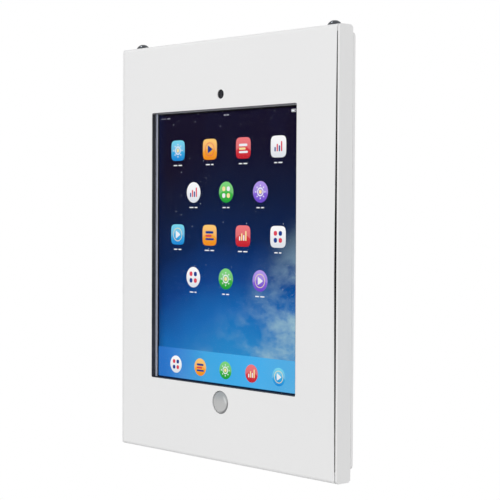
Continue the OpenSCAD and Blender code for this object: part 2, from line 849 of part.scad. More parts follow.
// Foam ring that lines the camera hole and shades the lens, with a small opening before the lens
module camera_ring() {
    color("black")
    difference() {
        union() {
            rod(camera_hole_d / 2 + camera_ring_w, window_x, camera_hole_z, cover_inner_y, gasket_rear_y);
            rod(camera_hole_d / 2, window_x, camera_hole_z, camera_collar_y, cover_inner_y + fit);
        }
        rod(camera_hole_d / 2 - gasket_lip, window_x, camera_hole_z, camera_collar_y - past, cover_inner_y);
        rod(camera_lens_r - 1, 0, camera_z, cover_inner_y - past, past);
        slab(cover_inner_y, past) window_shape(gasket_w + 0.1);
    }
}

// Ring stuck behind the cover that traps the cap's flange
module cap_retainer() {
    color("dimgray")
    difference() {
        rod(retainer_r, cap_x, home_z, cover_inner_y, retainer_floor_y + retainer_floor_t);
        rod(cap_flange_r + 0.2, cap_x, home_z, cover_inner_y - past, retainer_floor_y);
        rod(retainer_hole_r, cap_x, home_z, cover_inner_y - past, past);
    }
}

module home_key_cap() {
    color("darkgray") {
        rod(cap_r, cap_x, home_z, front_y + cap_recess, cap_flange_rear_y);
        rod(cap_flange_r, cap_x, home_z, cap_flange_front_y, cap_flange_rear_y);
        rod(pip_r, cap_x, home_z, cap_flange_rear_y - fit, glass_y - pip_front_gap);
    }
}

wall_plate();
rear_case();
case_screws();
lock_screws();
lock_nuts();
pivot_pins();
cable_grommet();
tablet_shelves();
shelf_pads();
back_pads();
foam_left();
foam_right();
foam_top();
tablet_shell();
tablet_glass();
tablet_bezel();
tablet_display();
tablet_battery();
tablet_board();
tablet_camera();
home_switch();
tablet_home_key();
tablet_power_key();
tablet_volume_key();
screen_backdrop();
screen_band();
color("limegreen") tiles_of(GREEN);  // screen_tiles_green
color("ghostwhite") tiles_of(WHITE);  // screen_tiles_white
color("crimson") tiles_of(RED);  // screen_tiles_red
color("orange") tiles_of(AMBER);  // screen_tiles_amber
color("turquoise") tiles_of(CYAN);  // screen_tiles_cyan
color("mediumpurple") tiles_of(VIOLET);  // screen_tiles_violet
screen_marks_light();
screen_marks_dark();
front_cover();
window_gasket();
camera_ring();
cap_retainer();
home_key_cap();
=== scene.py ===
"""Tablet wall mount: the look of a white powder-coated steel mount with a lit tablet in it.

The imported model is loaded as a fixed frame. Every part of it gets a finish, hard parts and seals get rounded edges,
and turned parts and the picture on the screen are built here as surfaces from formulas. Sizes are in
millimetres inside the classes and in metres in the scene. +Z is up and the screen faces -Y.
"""

from __future__ import annotations

import json
import logging
import math
from dataclasses import dataclass, field
from enum import Enum
from typing import Any, Callable, Sequence

import bmesh
import bpy
import numpy as np
from mathutils import Matrix, Vector

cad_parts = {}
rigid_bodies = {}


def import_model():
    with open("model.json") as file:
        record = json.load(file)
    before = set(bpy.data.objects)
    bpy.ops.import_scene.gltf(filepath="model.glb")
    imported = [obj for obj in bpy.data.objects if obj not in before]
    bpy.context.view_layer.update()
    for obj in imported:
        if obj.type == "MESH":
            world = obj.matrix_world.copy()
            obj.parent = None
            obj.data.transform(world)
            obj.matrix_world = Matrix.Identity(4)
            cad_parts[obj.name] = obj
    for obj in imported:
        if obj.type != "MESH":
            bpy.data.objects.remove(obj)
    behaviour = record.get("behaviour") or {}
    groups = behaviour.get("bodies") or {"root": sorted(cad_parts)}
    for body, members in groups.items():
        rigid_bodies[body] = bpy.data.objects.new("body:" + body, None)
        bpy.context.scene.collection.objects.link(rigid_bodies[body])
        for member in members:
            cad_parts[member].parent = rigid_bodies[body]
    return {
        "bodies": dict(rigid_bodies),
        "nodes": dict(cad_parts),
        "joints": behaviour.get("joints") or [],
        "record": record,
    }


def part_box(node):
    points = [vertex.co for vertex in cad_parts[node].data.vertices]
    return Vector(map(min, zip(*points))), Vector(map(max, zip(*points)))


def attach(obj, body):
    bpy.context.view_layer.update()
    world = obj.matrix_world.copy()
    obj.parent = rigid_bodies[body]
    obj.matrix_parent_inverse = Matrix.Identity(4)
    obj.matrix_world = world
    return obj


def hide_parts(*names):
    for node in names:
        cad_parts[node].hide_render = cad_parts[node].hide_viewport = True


log = logging.getLogger("tablet_mount")

MM = 0.001
# Edges that turn by more than this stay sharp
SHARP_TURNED = math.radians(35)
SHARP_SHEET = math.radians(40)
Rgba = tuple[float, float, float, float]
Triple = tuple[float, float, float]
Surface = tuple[np.ndarray, np.ndarray]


def linear(code: str) -> Rgba:
    """Turns a display colour such as "e8eaec" into the shader's linear light.

    Args:
        code: Six hexadecimal digits.

    Returns:
        Red, green, blue and alpha 1, each v = ((c + 0.055) / 1.055) ** 2.4, or c / 12.92 for dark values.
    """
    values = [int(code[i : i + 2], 16) / 255 for i in (0, 2, 4)]
    light = [c / 12.92 if c <= 0.04045 else ((c + 0.055) / 1.055) ** 2.4 for c in values]
    return (light[0], light[1], light[2], 1.0)


def shaded(code: str, share: float) -> Rgba:
    """Gives a display colour's linear light times a share."""
    red, green, blue, _ = linear(code)
    return (red * share, green * share, blue * share, 1.0)


# Wiring of materials


class Wiring:
    """A node tree under construction."""

    def __init__(self, tree: bpy.types.NodeTree) -> None:
        """Starts with the tree empty."""
        self.tree = tree
        tree.nodes.clear()

    def feed(self, slot: bpy.types.NodeSocket, value: Any) -> None:
        """Links an input to a socket, or writes a value into it.

        Args:
            slot: The input.
            value: Socket, number, vector or colour, or the code of a display colour.
        """
        if isinstance(value, bpy.types.NodeSocket):
            self.tree.links.new(value, slot)
        else:
            slot.default_value = linear(value) if isinstance(value, str) else value

    def add(self, kind: str, settings: dict[str, Any] | None = None, **inputs: Any) -> bpy.types.Node:
        """Adds a node.

        Args:
            kind: Blender's name for the node type, without "ShaderNode".
            settings: Properties of the node.
            **inputs: Values or sockets for its inputs, by name, or by number as "i0", "i1" and so on.

        Returns:
            The new node.
        """
        node = self.tree.nodes.new("ShaderNode" + kind)
        for key, value in (settings or {}).items():
            setattr(node, key, value)
        for key, value in inputs.items():
            self.feed(node.inputs[int(key[1:]) if key[1:].isdigit() else key.replace("_", " ")], value)
        return node

    def math(self, kind: str, a: Any, b: Any = 0.0) -> Any:
        """Gives the result of an operation such as "MAXIMUM" on values or sockets."""
        return self.add("Math", {"operation": kind}, i0=a, i1=b).outputs[0]

    def times(self, a: Any, *others: Any) -> Any:
        """Multiplies values or sockets, from left to right."""
        for other in others:
            a = self.math("MULTIPLY", a, other)
        return a

    def reach(self, a: Any, b: Any) -> Any:
        """Gives the distance sqrt(a * a + b * b)."""
        return self.math("SQRT", self.math("ADD", self.times(a, a), self.times(b, b)))

    def span(self, value: Any, low: float, high: float, out_low: float = 0.0, out_high: float = 1.0) -> Any:
        """Maps low..high to out_low..out_high with soft ends.

        Args:
            value: Socket to map.
            low: Start of the span.
            high: End of the span.
            out_low: Result at the start.
            out_high: Result at the end.

        Returns:
            The result socket.
        """
        soft = {"interpolation_type": "SMOOTHSTEP"}
        return self.add("MapRange", soft, i0=value, i1=low, i2=high, i3=out_low, i4=out_high).outputs[0]

    def parts(self, vector: Any) -> Any:
        """Splits a vector socket into its three values."""
        return self.add("SeparateXYZ", i0=vector).outputs


class Graph(Wiring):
    """A node material under construction, with one Principled shader."""

    def __init__(self, name: str) -> None:
        """Starts a material of a given name with a Principled shader and an output."""
        self.material = bpy.data.materials.new(name)
        self.material.use_nodes = True
        super().__init__(self.material.node_tree)
        self.shader = self.add("BsdfPrincipled")
        self.add("OutputMaterial", i0=self.shader.outputs[0])

    def set(self, **values: Any) -> None:
        """Sets or links inputs of the shader, by name with underscores for spaces."""
        for key, value in values.items():
            self.feed(self.shader.inputs[key.replace("_", " ")], value)

    def place(self, scale: Triple = (1, 1, 1), shift: Triple = (0, 0, 0)) -> Any:
        """Gives object coordinates, scaled along each axis and then shifted."""
        coords = self.add("TexCoord")
        return self.add("Mapping", i0=coords.outputs["Object"], Location=shift, Scale=scale).outputs[0]

    def noise(self, where: Any, scale: float, detail: float = 2.0, rough: float = 0.5) -> Any:
        """Adds a noise texture.

        Args:
            where: Vector socket.
            scale: Cells a metre, in the units of the vector.
            detail: Octaves.
            rough: Strength of the finer octaves.

        Returns:
            The factor socket.
        """
        return self.add("TexNoise", Vector=where, Scale=scale, Detail=detail, Roughness=rough).outputs["Fac"]

    def ramp(self, factor: Any, stops: Sequence[tuple[float, str | Rgba]]) -> Any:
        """Adds a colour ramp.

        Args:
            factor: Socket from 0 to 1.
            stops: Position and colour of each stop.

        Returns:
            The colour socket.
        """
        node = self.add("ValToRGB", Fac=factor)
        while len(node.color_ramp.elements) < len(stops):
            node.color_ramp.elements.new(0.5)
        for element, (at, colour) in zip(node.color_ramp.elements, stops):
            element.position = at
            element.color = linear(colour) if isinstance(colour, str) else colour
        return node.outputs["Color"]

    def mix(self, factor: Any, a: Any, b: Any) -> Any:
        """Mixes two colours or sockets, from a at factor 0 to b at factor 1."""
        return self.add("Mix", {"data_type": "RGBA"}, i0=factor, i6=a, i7=b).outputs[2]

    def bump(self, height: Any, distance: float, strength: float) -> None:
        """Links a bump from a height to the shader's normal.

        Args:
            height: Socket from 0 to 1.
            distance: Height of the relief, in metres.
            strength: Share of the relief that shows.
        """
        self.set(Normal=self.add("Bump", Height=height, Distance=distance, Strength=strength).outputs[0])


# Finishes


@dataclass(frozen=True)
class Finish:
    """A surface finish: colour, gloss and fine relief."""

    name: str
    colour: str
    roughness: float = 0.5

    def wire(self, g: Graph) -> None:
        """Wires the finish into a new material."""
        raise NotImplementedError

    def varied(self, g: Graph, pattern: Any, share: float) -> Any:
        """Lets the colour vary with a pattern.

        Args:
            g: The material.
            pattern: Socket from 0 to 1.
            share: Share of the colour's light that is left where the pattern is low.

        Returns:
            The colour socket.
        """
        return g.mix(g.span(pattern, 0.3, 0.7), shaded(self.colour, share), self.colour)

    def gloss(self, g: Graph, pattern: Any, low: float, high: float) -> None:
        """Lets the roughness vary with a pattern.

        Args:
            g: The material.
            pattern: Socket from 0 to 1.
            low: What is added to the roughness where the pattern is low.
            high: What is added to it where the pattern is high.
        """
        g.set(Roughness=g.span(pattern, 0.3, 0.7, self.roughness + low, self.roughness + high))

    def material(self) -> bpy.types.Material:
        """Gives the finish's material, made once."""
        name = "finish_" + self.name
        found = bpy.data.materials.get(name)
        if found:
            return found
        g = Graph(name)
        self.wire(g)
        return g.material


@dataclass(frozen=True)
class PowderCoat(Finish):
    """Baked powder coat: even colour, soft gloss and a very fine orange peel."""

    peel: float = 0.00002
    cooler: tuple[float, ...] = (0.99, 0.99, 0.992, 1.0)

    def wire(self, g: Graph) -> None:
        """Wires slow colour drift, uneven gloss and the peel."""
        where = g.place()
        warm = linear(self.colour)
        cool = tuple(c * k for c, k in zip(warm, self.cooler))
        g.set(Base_Color=g.ramp(g.noise(where, 9.0), [(0.35, warm), (0.65, cool)]))
        fine = g.noise(where, 650.0, 2.0, 0.4)
        self.gloss(g, fine, -0.04, 0.04)
        g.set(Coat_Weight=0.15, Coat_Roughness=0.2)
        g.bump(fine, self.peel, 0.35)


@dataclass(frozen=True)
class Foam(Finish):
    """Closed-cell foam: dark, matt, with small open cells on its skin."""

    cell: float = 1500.0

    def skin(self, g: Graph, where: Any) -> None:
        """Wires the dull gloss and the relief of the cells, at a vector socket."""
        g.set(Roughness=self.roughness, Specular_IOR_Level=0.12)
        g.bump(g.add("TexVoronoi", Vector=where, Scale=self.cell).outputs["Distance"], 0.00012, 0.8)

    def wire(self, g: Graph) -> None:
        """Wires the cells and a dusty drift in the colour."""
        where = g.place()
        pale = tuple(min(c * 1.9 + 0.004, 1) for c in linear(self.colour)[:3]) + (1.0,)
        g.set(Base_Color=g.mix(g.span(g.noise(where, 60.0, 4.0), 0.35, 0.75), self.colour, pale))
        self.skin(g, where)


@dataclass(frozen=True)
class Lining(Foam):
    """Thin foam lining of the window. Its top band is painted pale grey: painted light, as if it caught the light from
    below.
    """

    top: float = 100.0
    dusty: str = "4a4b51"
    painted_light_band: str = "8f8f94"

    def wire(self, g: Graph) -> None:
        """Wires the foam, with painted light that makes it paler above a height."""
        where = g.place()
        base = g.mix(g.span(g.noise(where, 60.0, 4.0), 0.3, 0.7), self.colour, self.dusty)
        # painted light: above this height the black foam is coloured pale grey
        above = g.span(g.parts(where)[2], self.top * MM, (self.top + 0.1) * MM)
        g.set(Base_Color=g.mix(above, base, self.painted_light_band))
        self.skin(g, where)


@dataclass(frozen=True)
class Metal(Finish):
    """Bare or plated metal with fine scratches along one axis."""

    scratch: Triple = (40.0, 40.0, 1400.0)
    depth: float = 0.000008

    def wire(self, g: Graph) -> None:
        """Wires the scratches into gloss, tone and relief."""
        lines = g.noise(g.place(self.scratch), 1.0, 3.0, 0.6)
        g.set(Base_Color=self.varied(g, lines, 0.82), Metallic=1.0)
        self.gloss(g, lines, 0.08, -0.04)
        g.bump(lines, self.depth, 0.6)


@dataclass(frozen=True)
class Blasted(Finish):
    """Fine blasted aluminium."""

    def wire(self, g: Graph) -> None:
        """Wires the blasted grain."""
        grain = g.noise(g.place(), 2600.0, 2.0, 0.7)
        g.set(Base_Color=g.mix(grain, shaded(self.colour, 0.93), self.colour), Metallic=1.0)
        g.set(Roughness=g.span(grain, 0.2, 0.8, self.roughness - 0.05, self.roughness + 0.08))
        g.bump(grain, 0.00001, 0.6)


@dataclass(frozen=True)
class ClearGlass(Finish):
    """Thin clear glass, mostly see-through."""

    alpha: float = 0.02

    def wire(self, g: Graph) -> None:
        """Wires a clear sheet with the faintest smears in its gloss."""
        smear = g.noise(g.place(), 35.0, 4.0, 0.6)
        g.set(Roughness=g.span(smear, 0.4, 0.8, self.roughness, self.roughness + 0.05))
        g.set(Base_Color=self.colour, Alpha=self.alpha, IOR=1.5, Specular_IOR_Level=0.5)


@dataclass(frozen=True)
class Moulded(Finish):
    """Moulded or painted plastic with a slight grain."""

    grain: float = 700.0
    depth: float = 0.00001
    coat: float = 0.0

    def tone(self, g: Graph, where: Any) -> Any:
        """Gives the colour with a slow drift, at a vector socket."""
        return self.varied(g, g.noise(where, 25.0), 0.95)

    def wire(self, g: Graph) -> None:
        """Wires the colour, and the grain where it has a depth."""
        where = g.place()
        g.set(Base_Color=self.tone(g, where), Coat_Weight=self.coat)
        fine = g.noise(where, self.grain, 3.0)
        self.gloss(g, fine, -0.04, 0.05)
        if self.depth:
            g.bump(fine, self.depth, 0.5)


@dataclass(frozen=True)
class PaintedBorder(Moulded):
    """Painted border behind the glass, with a black line round its opening and painted light from the picture on its
    edge.
    """

    half: tuple[float, float] = (75.45, 100.1)
    middle: float = 1.0
    line: str = "060608"
    lit: str = "ced4e8"

    def tone(self, g: Graph, where: Any) -> Any:
        """Gives the paint, the picture's painted light on it and the line, by the distance from the opening's edge."""
        x, _, z = g.parts(where)
        paint = self.varied(g, g.noise(where, 25.0), 0.97)
        wide = g.math("SUBTRACT", g.math("ABSOLUTE", x), self.half[0] * MM)
        high = g.math("SUBTRACT", g.math("ABSOLUTE", g.math("SUBTRACT", z, self.middle * MM)), self.half[1] * MM)
        away = g.math("MAXIMUM", wide, high)
        # painted light: the picture's glow on the paint, strongest near the opening
        paint = g.mix(g.span(away, 0.0045, 0.0015, 0.0, 0.9), paint, self.lit)
        return g.mix(g.span(away, 0.00005, -0.00005), paint, self.line)


@dataclass(frozen=True)
class PanelBlack(Finish):
    """Black rim of the display, under the white paint where that reaches in at the top. That paint is greyer than the
    border's own white: painted shade under the window's top edge.
    """

    top: float = 100.3
    drift: str = "0c0d12"
    paint: str = "b2b3ba"

    def wire(self, g: Graph) -> None:
        """Wires a matt black with a slight drift, and the paint above a height, greyed as painted shade."""
        where = g.place()
        rim = g.mix(g.span(g.noise(where, 25.0), 0.3, 0.7), self.colour, self.drift)
        # painted shade: the paint above this height is greyed as if shaded by the window's top edge
        above = g.span(g.parts(where)[2], (self.top - 0.05) * MM, (self.top + 0.05) * MM)
        g.set(Base_Color=g.mix(above, rim, self.paint), Roughness=self.roughness, Specular_IOR_Level=0.15)


@dataclass(frozen=True)
class FrostedCap(Finish):
    """Frosted clear plastic over a dim well: darker and cooler at the top, with a painted highlight as a soft bright
    arc at the upper right, and painted shade round its rim, heaviest at the lower right.
    """

    centre: tuple[float, float] = (-0.9, -108.2)
    radius: float = 7.95

    def wire(self, g: Graph) -> None:
        """Wires tone by height, the painted highlight by distance from a centre that is set to the lower left, and the
        painted rim shade.
        """
        x0, z0 = self.centre[0] * MM, self.centre[1] * MM
        unit = 1 / (self.radius * MM)
        where = g.place((unit, unit, unit), (-x0 * unit, 0.0, -z0 * unit))
        x, _, z = g.parts(where)
        frost = g.noise(g.place(), 1500.0, 3.0, 0.6)
        tone = g.ramp(g.span(z, -0.9, 0.95), [(0.0, "bdbdbd"), (0.55, "babbbb"), (1.0, "9ca2a6")])
        # painted highlight: a soft bright arc at the upper right of the cap
        dx, dz = g.math("ADD", x, 0.22), g.math("ADD", z, 0.3)
        far = g.reach(dx, dz)
        painted_highlight = g.times(g.span(far, 0.78, 0.92), g.span(far, 1.14, 1.0))
        upper = g.times(g.span(x, 0.25, 0.5), g.span(z, -0.2, 0.15))
        tone = g.mix(g.times(painted_highlight, upper, 0.75), tone, "dcdede")
        tone = g.mix(g.times(frost, 0.12), tone, "d8dadb")
        # painted shade: a dark rim, broad at the lower right and thin all round, for the shadow in the gap round the
        # cap
        out = g.reach(x, z)
        lean = g.span(g.math("SUBTRACT", g.times(x, 0.8), g.times(z, 0.6)), 0.25, 0.85)
        broad = g.times(g.span(out, 0.75, 0.88, 0.0, 0.9), lean)
        ring = g.math("MAXIMUM", broad, g.span(out, 0.88, 0.97, 0.0, 0.4))
        g.set(Base_Color=g.mix(ring, tone, "6a6c6d"))
        g.set(Roughness=self.roughness, Subsurface_Weight=0.12, Subsurface_Radius=(0.004, 0.004, 0.004))
        g.bump(frost, 0.00001, 0.5)


@dataclass(frozen=True)
class Circuit(Finish):
    """Green circuit board with faint copper tracks."""

    def wire(self, g: Graph) -> None:
        """Wires tracks from bricks."""
        where = g.place((400.0, 400.0, 400.0))
        turned = g.add("Mapping", i0=where, Rotation=(math.radians(90), 0, 0)).outputs[0]
        tracks = g.add("TexBrick", Vector=turned, Scale=1.0, Mortar_Size=0.06).outputs["Fac"]
        g.set(Base_Color=g.mix(tracks, self.colour, "3f8a55"), Roughness=self.roughness)
        g.bump(tracks, 0.00003, 0.5)


@dataclass(frozen=True)
class PaleFloor(Finish):
    """Studio floor: looks pale, keeps the shadow, and throws little light back up."""

    seen: str = "f2f2f2"

    def wire(self, g: Graph) -> None:
        """Wires a grey for the light's own bounces and a pale tone for what looks at the floor."""
        path = g.add("LightPath")
        looks = g.math("MAXIMUM", path.outputs["Is Camera Ray"], path.outputs["Is Glossy Ray"])
        drift = g.span(g.noise(g.place(), 3.0, 3.0), 0.3, 0.7, 0.97, 1.0)
        g.set(Base_Color=g.mix(looks, self.colour, self.seen), Roughness=self.roughness)
        g.set(Emission_Color="ffffff", Emission_Strength=g.times(looks, drift, 0.34))


@dataclass(frozen=True)
class Lit(Finish):
    """A part of the lit picture. It shines in its own colour and keeps a slight gloss."""

    def glow(self, g: Graph, colour: Any) -> None:
        """Makes the shader shine in a colour.

        Args:
            g: The material.
            colour: Colour or socket.
        """
        g.set(Base_Color="050507", Roughness=0.6, Specular_IOR_Level=0.0)
        g.set(Emission_Color=colour, Emission_Strength=1.0)


@dataclass(frozen=True)
class NightSky(Lit):
    """Backdrop: night blue at the top, clearer blue below, pale clouds at the lower right and a few stars."""

    half: tuple[float, float] = (73.9, 98.55)
    middle: float = 1.0

    def wire(self, g: Graph) -> None:
        """Wires sky tone by height, clouds from warped noise, and stars from sparse cells."""
        where = g.place()
        x, _, z = g.parts(where)
        left, crown = -self.half[0] * MM, (self.middle + self.half[1]) * MM
        height = g.span(z, (self.middle - self.half[1]) * MM, crown)
        slow = g.noise(where, 14.0, 3.0, 0.55)
        level = g.math("ADD", height, g.times(g.math("SUBTRACT", slow, 0.5), 0.22))
        level = g.math("ADD", level, g.span(x, left, -0.01, 0.14, 0.0))
        sky = g.ramp(level, [
            (0.0, "2a8aca"), (0.18, "1468b4"), (0.36, "083f86"),
            (0.56, "0a2452"), (0.78, "0f1a3a"), (1.0, "140f26"),
        ])
        warp = g.noise(g.place((1.0, 1.0, 1.6)), 22.0, 7.0, 0.62)
        side = g.math("SUBTRACT", g.times(x, 7.0), g.times(z, 7.5))
        reach = g.span(side, 0.2, 0.85)
        cloud = g.times(g.span(warp, 0.38, 0.66), reach)
        sky = g.mix(g.times(cloud, 0.85), sky, "a3c6cf")
        veil = g.times(g.span(g.noise(g.place((1.0, 1.0, 0.6)), 9.0, 5.0, 0.6), 0.5, 0.8), 0.14)
        sky = g.mix(veil, sky, "4a63a8")
        cells = g.add("TexVoronoi", Vector=g.place((330.0, 0.0, 330.0)), Scale=1.0)
        star = g.span(cells.outputs["Distance"], 0.16, 0.06)
        rare = g.span(g.parts(cells.outputs["Color"])[0], 0.8, 0.98)
        dusk = g.span(height, 0.1, 0.5)
        spark = g.times(star, rare, dusk)
        sky = g.mix(g.times(spark, 0.75), sky, "e8f2ff")
        sky = g.mix(g.span(z, crown - 1.3 * MM, crown - 0.6 * MM), sky, "06040c")
        sky = g.mix(g.span(x, left + 9.0 * MM, left, 0.0, 0.42), sky, "0c1a40")
        edge = g.span(x, left + 0.7 * MM, left + 0.2 * MM)
        self.glow(g, g.mix(g.times(edge, 0.8), sky, "08122e"))


@dataclass(frozen=True)
class PaleBand(Lit):
    """The band at the foot of the picture: clear sky blue, a little paler to the right, over a dark last line."""

    low: float = -97.55

    def wire(self, g: Graph) -> None:
        """Wires tone across the band with a soft cloud in it."""
        where = g.place()
        x, _, z = g.parts(where)
        across = g.span(x, -0.075, 0.075)
        tone = g.ramp(across, [
            (0.0, "2a72c6"), (0.04, "3380d2"), (0.09, "408cd6"), (0.3, "42a8e4"), (0.8, "46b0ee"), (1.0, "54aee4"),
        ])
        soft = g.span(g.noise(where, 30.0, 4.0, 0.5), 0.4, 0.8)
        sky = g.mix(g.times(soft, 0.12), tone, "8accf2")
        foot = g.span(z, (self.low + 2.4) * MM, (self.low + 1.7) * MM)
        self.glow(g, g.mix(foot, sky, "04122c"))


@dataclass(frozen=True)
class TileGlow(Lit):
    """A tile: clearer at the top and deeper at the foot, with a faint sheen over its upper half."""

    deep: str = "000000"

    def wire(self, g: Graph) -> None:
        """Wires tone by the tile's own height and the sheen by a wide arc on its UV map."""
        u, v, _ = g.parts(g.add("UVMap").outputs[0])
        tone = g.ramp(v, [(0.0, self.deep), (1.0, self.colour)])
        du, dv = g.math("SUBTRACT", u, 0.5), g.math("ADD", v, 0.15)
        far = g.reach(du, dv)
        self.glow(g, g.mix(g.times(g.span(far, 0.7, 0.74), 0.12), tone, "ffffff"))


@dataclass(frozen=True)
class MarkGlow(Lit):
    """Signs and labels of one tone."""

    def wire(self, g: Graph) -> None:
        """Wires a very slight fade of tone from mark to mark."""
        self.glow(g, self.varied(g, g.noise(g.place(), 60.0, 1.0), 0.93))


WHITE_COAT = PowderCoat("white_coat", "efefef", 0.36)
BLACK_FOAM = Foam("black_foam", "101011", 0.95)
LINING = Lining("black_lining", "3e4046", 0.9, 2200.0)
HOLE_LINING = Foam("hole_lining", "2b2c30", 0.9, 2200.0)
BLACK_RUBBER = Moulded("black_rubber", "1a1a1b", 0.7, 900.0, 0.00003)
ZINC = Metal("zinc_steel", "b9bcc0", 0.32)
GUNMETAL = Metal("dark_steel", "55585c", 0.07, (500.0, 500.0, 60.0))
TABLET_METAL = Blasted("tablet_metal", "cfd1d4", 0.42)
GLASS = ClearGlass("clear_glass", "0c0d10", 0.03)
WHITE_PAINT = PaintedBorder("white_paint", "e6e7eb", 0.3, 400.0, 0.0, 0.2)
PANEL_BLACK = PanelBlack("panel_black", "08080a")
LENS_BLACK = Moulded("lens_black", "1c1d22", 0.12, 300.0, 0.0, 1.0)
BATTERY = Moulded("battery_grey", "4c4d50", 0.45, 300.0, 0.00002)
BOARD = Circuit("board_green", "0f4a2a", 0.45)
KEY_WHITE = Moulded("key_white", "e3e4e8", 0.25, 500.0, 0.0, 0.4)
CAP_FROST = FrostedCap("frosted_clear", "bbbdbe", 0.42)
DARK_PLASTIC = Moulded("dark_plastic", "37383b", 0.55, 800.0, 0.00003)


# Shapes from formulas


class Axis(Enum):
    """The axis that a turned part is turned about. Each value is the order that takes (a, b, h) to (x, y, z)."""

    X = (2, 0, 1)
    Y = (1, 2, 0)
    Z = (0, 1, 2)


def quads(rows: int, columns: int, wrap: bool) -> np.ndarray:
    """Faces of a grid of points.

    Args:
        rows: Number of rows of points.
        columns: Number of points in a row.
        wrap: True if each row closes on itself.

    Returns:
        An (n, 4) array of point numbers.
    """
    i = np.arange(rows - 1)[:, None]
    j = np.arange(columns if wrap else columns - 1)[None, :]
    k = (j + 1) % columns
    return np.stack([i * columns + j, i * columns + k, (i + 1) * columns + k, (i + 1) * columns + j], -1).reshape(-1, 4)


def joined(*surfaces: Surface) -> Surface:
    """Puts several surfaces into one set of points and faces."""
    start, points, faces = 0, [], []
    for p, f in surfaces:
        points.append(p)
        faces.append(f + start)
        start += len(p)
    return np.concatenate(points), np.concatenate(faces)


def filleted(corners: Sequence[tuple[float, float, float]], steps: int = 5) -> np.ndarray:
    """Rounds the corners of an open line.

    Each corner B between A and C is replaced by the arc that touches both sides at t = radius * tan(turn / 2) from B,
    drawn as B + t * ((1 - s)^2 * a + s^2 * c), where a and c point to A and C and s runs from 0 to 1.

    Args:
        corners: First value, second value and radius of each corner.
        steps: Number of pieces in each arc.

    Returns:
        An (n, 2) array of points.
    """
    pts = np.array([c[:2] for c in corners], float)
    out = [pts[:1]]
    s = np.linspace(0, 1, steps + 1)[:, None]
    for k in range(1, len(pts) - 1):
        a, c = pts[k - 1] - pts[k], pts[k + 1] - pts[k]
        la, lc = np.linalg.norm(a), np.linalg.norm(c)
        if corners[k][2] <= 0 or min(la, lc) < 1e-9:
            out.append(pts[k : k + 1])
            continue
        turn = math.pi - math.acos(float(np.clip(a @ c / (la * lc), -1, 1)))
        t = min(corners[k][2] * math.tan(turn / 2), 0.49 * la, 0.49 * lc)
        out.append(pts[k] + t * ((1 - s) ** 2 * a / la + s**2 * c / lc))
    out.append(pts[-1:])
    return np.concatenate(out)


def turned(
    profile: np.ndarray,
    axis: Axis,
    at: Triple,
    segments: int,
    shape: Callable[[np.ndarray, np.ndarray], np.ndarray] | None = None,
) -> Surface:
    """Turns a profile about an axis.

    P(t, f) = at + R(t, f) * (cos f * e1 + sin f * e2) + h(t) * e3, where R is r(t), or r(t) times shape(t, f).

    Args:
        profile: (n, 2) array of radius and height along the axis.
        axis: The axis.
        at: Where the axis's zero lies.
        segments: Number of points round the axis.
        shape: Factor on the radius for each profile point (rows) and angle (columns).

    Returns:
        Points in millimetres, and faces.
    """
    angle = np.linspace(0, 2 * math.pi, segments, endpoint=False)[None, :]
    row = np.arange(len(profile))[:, None]
    radius = profile[:, :1] * (shape(row, angle) if shape else np.ones_like(angle))
    height = np.broadcast_to(profile[:, 1:], radius.shape)
    local = np.stack([radius * np.cos(angle), radius * np.sin(angle), height], -1)
    points = local.reshape(-1, 3)[:, list(axis.value)] + np.array(at)
    return points, quads(len(profile), segments, True)


def flat(rim: np.ndarray, y: float, hole: np.ndarray | None = None) -> Surface:
    """A flat figure facing -Y, as rings between a centre or hole and a rim.

    P(s, k) = (1 - s) * inner(k) + s * rim(k), at depth y.

    Args:
        rim: (n, 2) points of the outline, in x and z.
        y: Depth of the figure.
        hole: (n, 2) points of the inner outline, or None for the rim's own middle.

    Returns:
        Points in millimetres, and faces.
    """
    inner = np.broadcast_to(rim.mean(0), rim.shape) if hole is None else hole
    grid = np.stack([inner * (1 - s) + rim * s for s in (0.0, 0.5, 1.0)])
    points = np.stack([grid[..., 0], np.full(grid.shape[:2], y), grid[..., 1]], -1).reshape(-1, 3)
    faces = quads(3, len(rim), True)
    a, b = rim[1] - rim[0], rim[2] - rim[0]
    return points, faces if a[0] * b[1] - a[1] * b[0] < 0 else faces[:, ::-1]


def oval(x: float, z: float, w: float, h: float, power: float = 2.0, count: int = 40) -> np.ndarray:
    """Outline |2(x - x0) / w| ** p + |2(z - z0) / h| ** p = 1, a circle for p = 2 and squarer above.

    Args:
        x: Middle across.
        z: Middle height.
        w: Width.
        h: Height.
        power: The power p.
        count: Number of points.

    Returns:
        (count, 2) points, anticlockwise in x and z.
    """
    f = np.linspace(0, 2 * math.pi, count, endpoint=False)
    c, s = np.cos(f), np.sin(f)
    r = (np.abs(c) ** power + np.abs(s) ** power) ** (-1 / power)
    return np.stack([x + w / 2 * r * c, z + h / 2 * r * s], -1)


def polygon(x: float, z: float, radius: float, sides: int, turn: float, soft: float, count: int = 48) -> np.ndarray:
    """Outline of a regular figure with soft corners.

    r(f) = R * ((1 - k) * cos(a) / cos(m) + k * cos(a)), where m is the angle from the middle of the nearest side and
    a is half of one side's angle.

    Args:
        x: Middle across.
        z: Middle height.
        radius: Radius R of the corners.
        sides: Number of sides.
        turn: Angle of the first corner, in degrees.
        soft: Softness k from 0 to 1.
        count: Number of points.

    Returns:
        (count, 2) points.
    """
    f = np.linspace(0, 2 * math.pi, count, endpoint=False)
    a = math.pi / sides
    m = np.mod(f, 2 * a) - a
    r = radius * math.cos(a) * ((1 - soft) / np.cos(m) + soft)
    g = f + math.radians(turn)
    return np.stack([x + r * np.cos(g), z + r * np.sin(g)], -1)


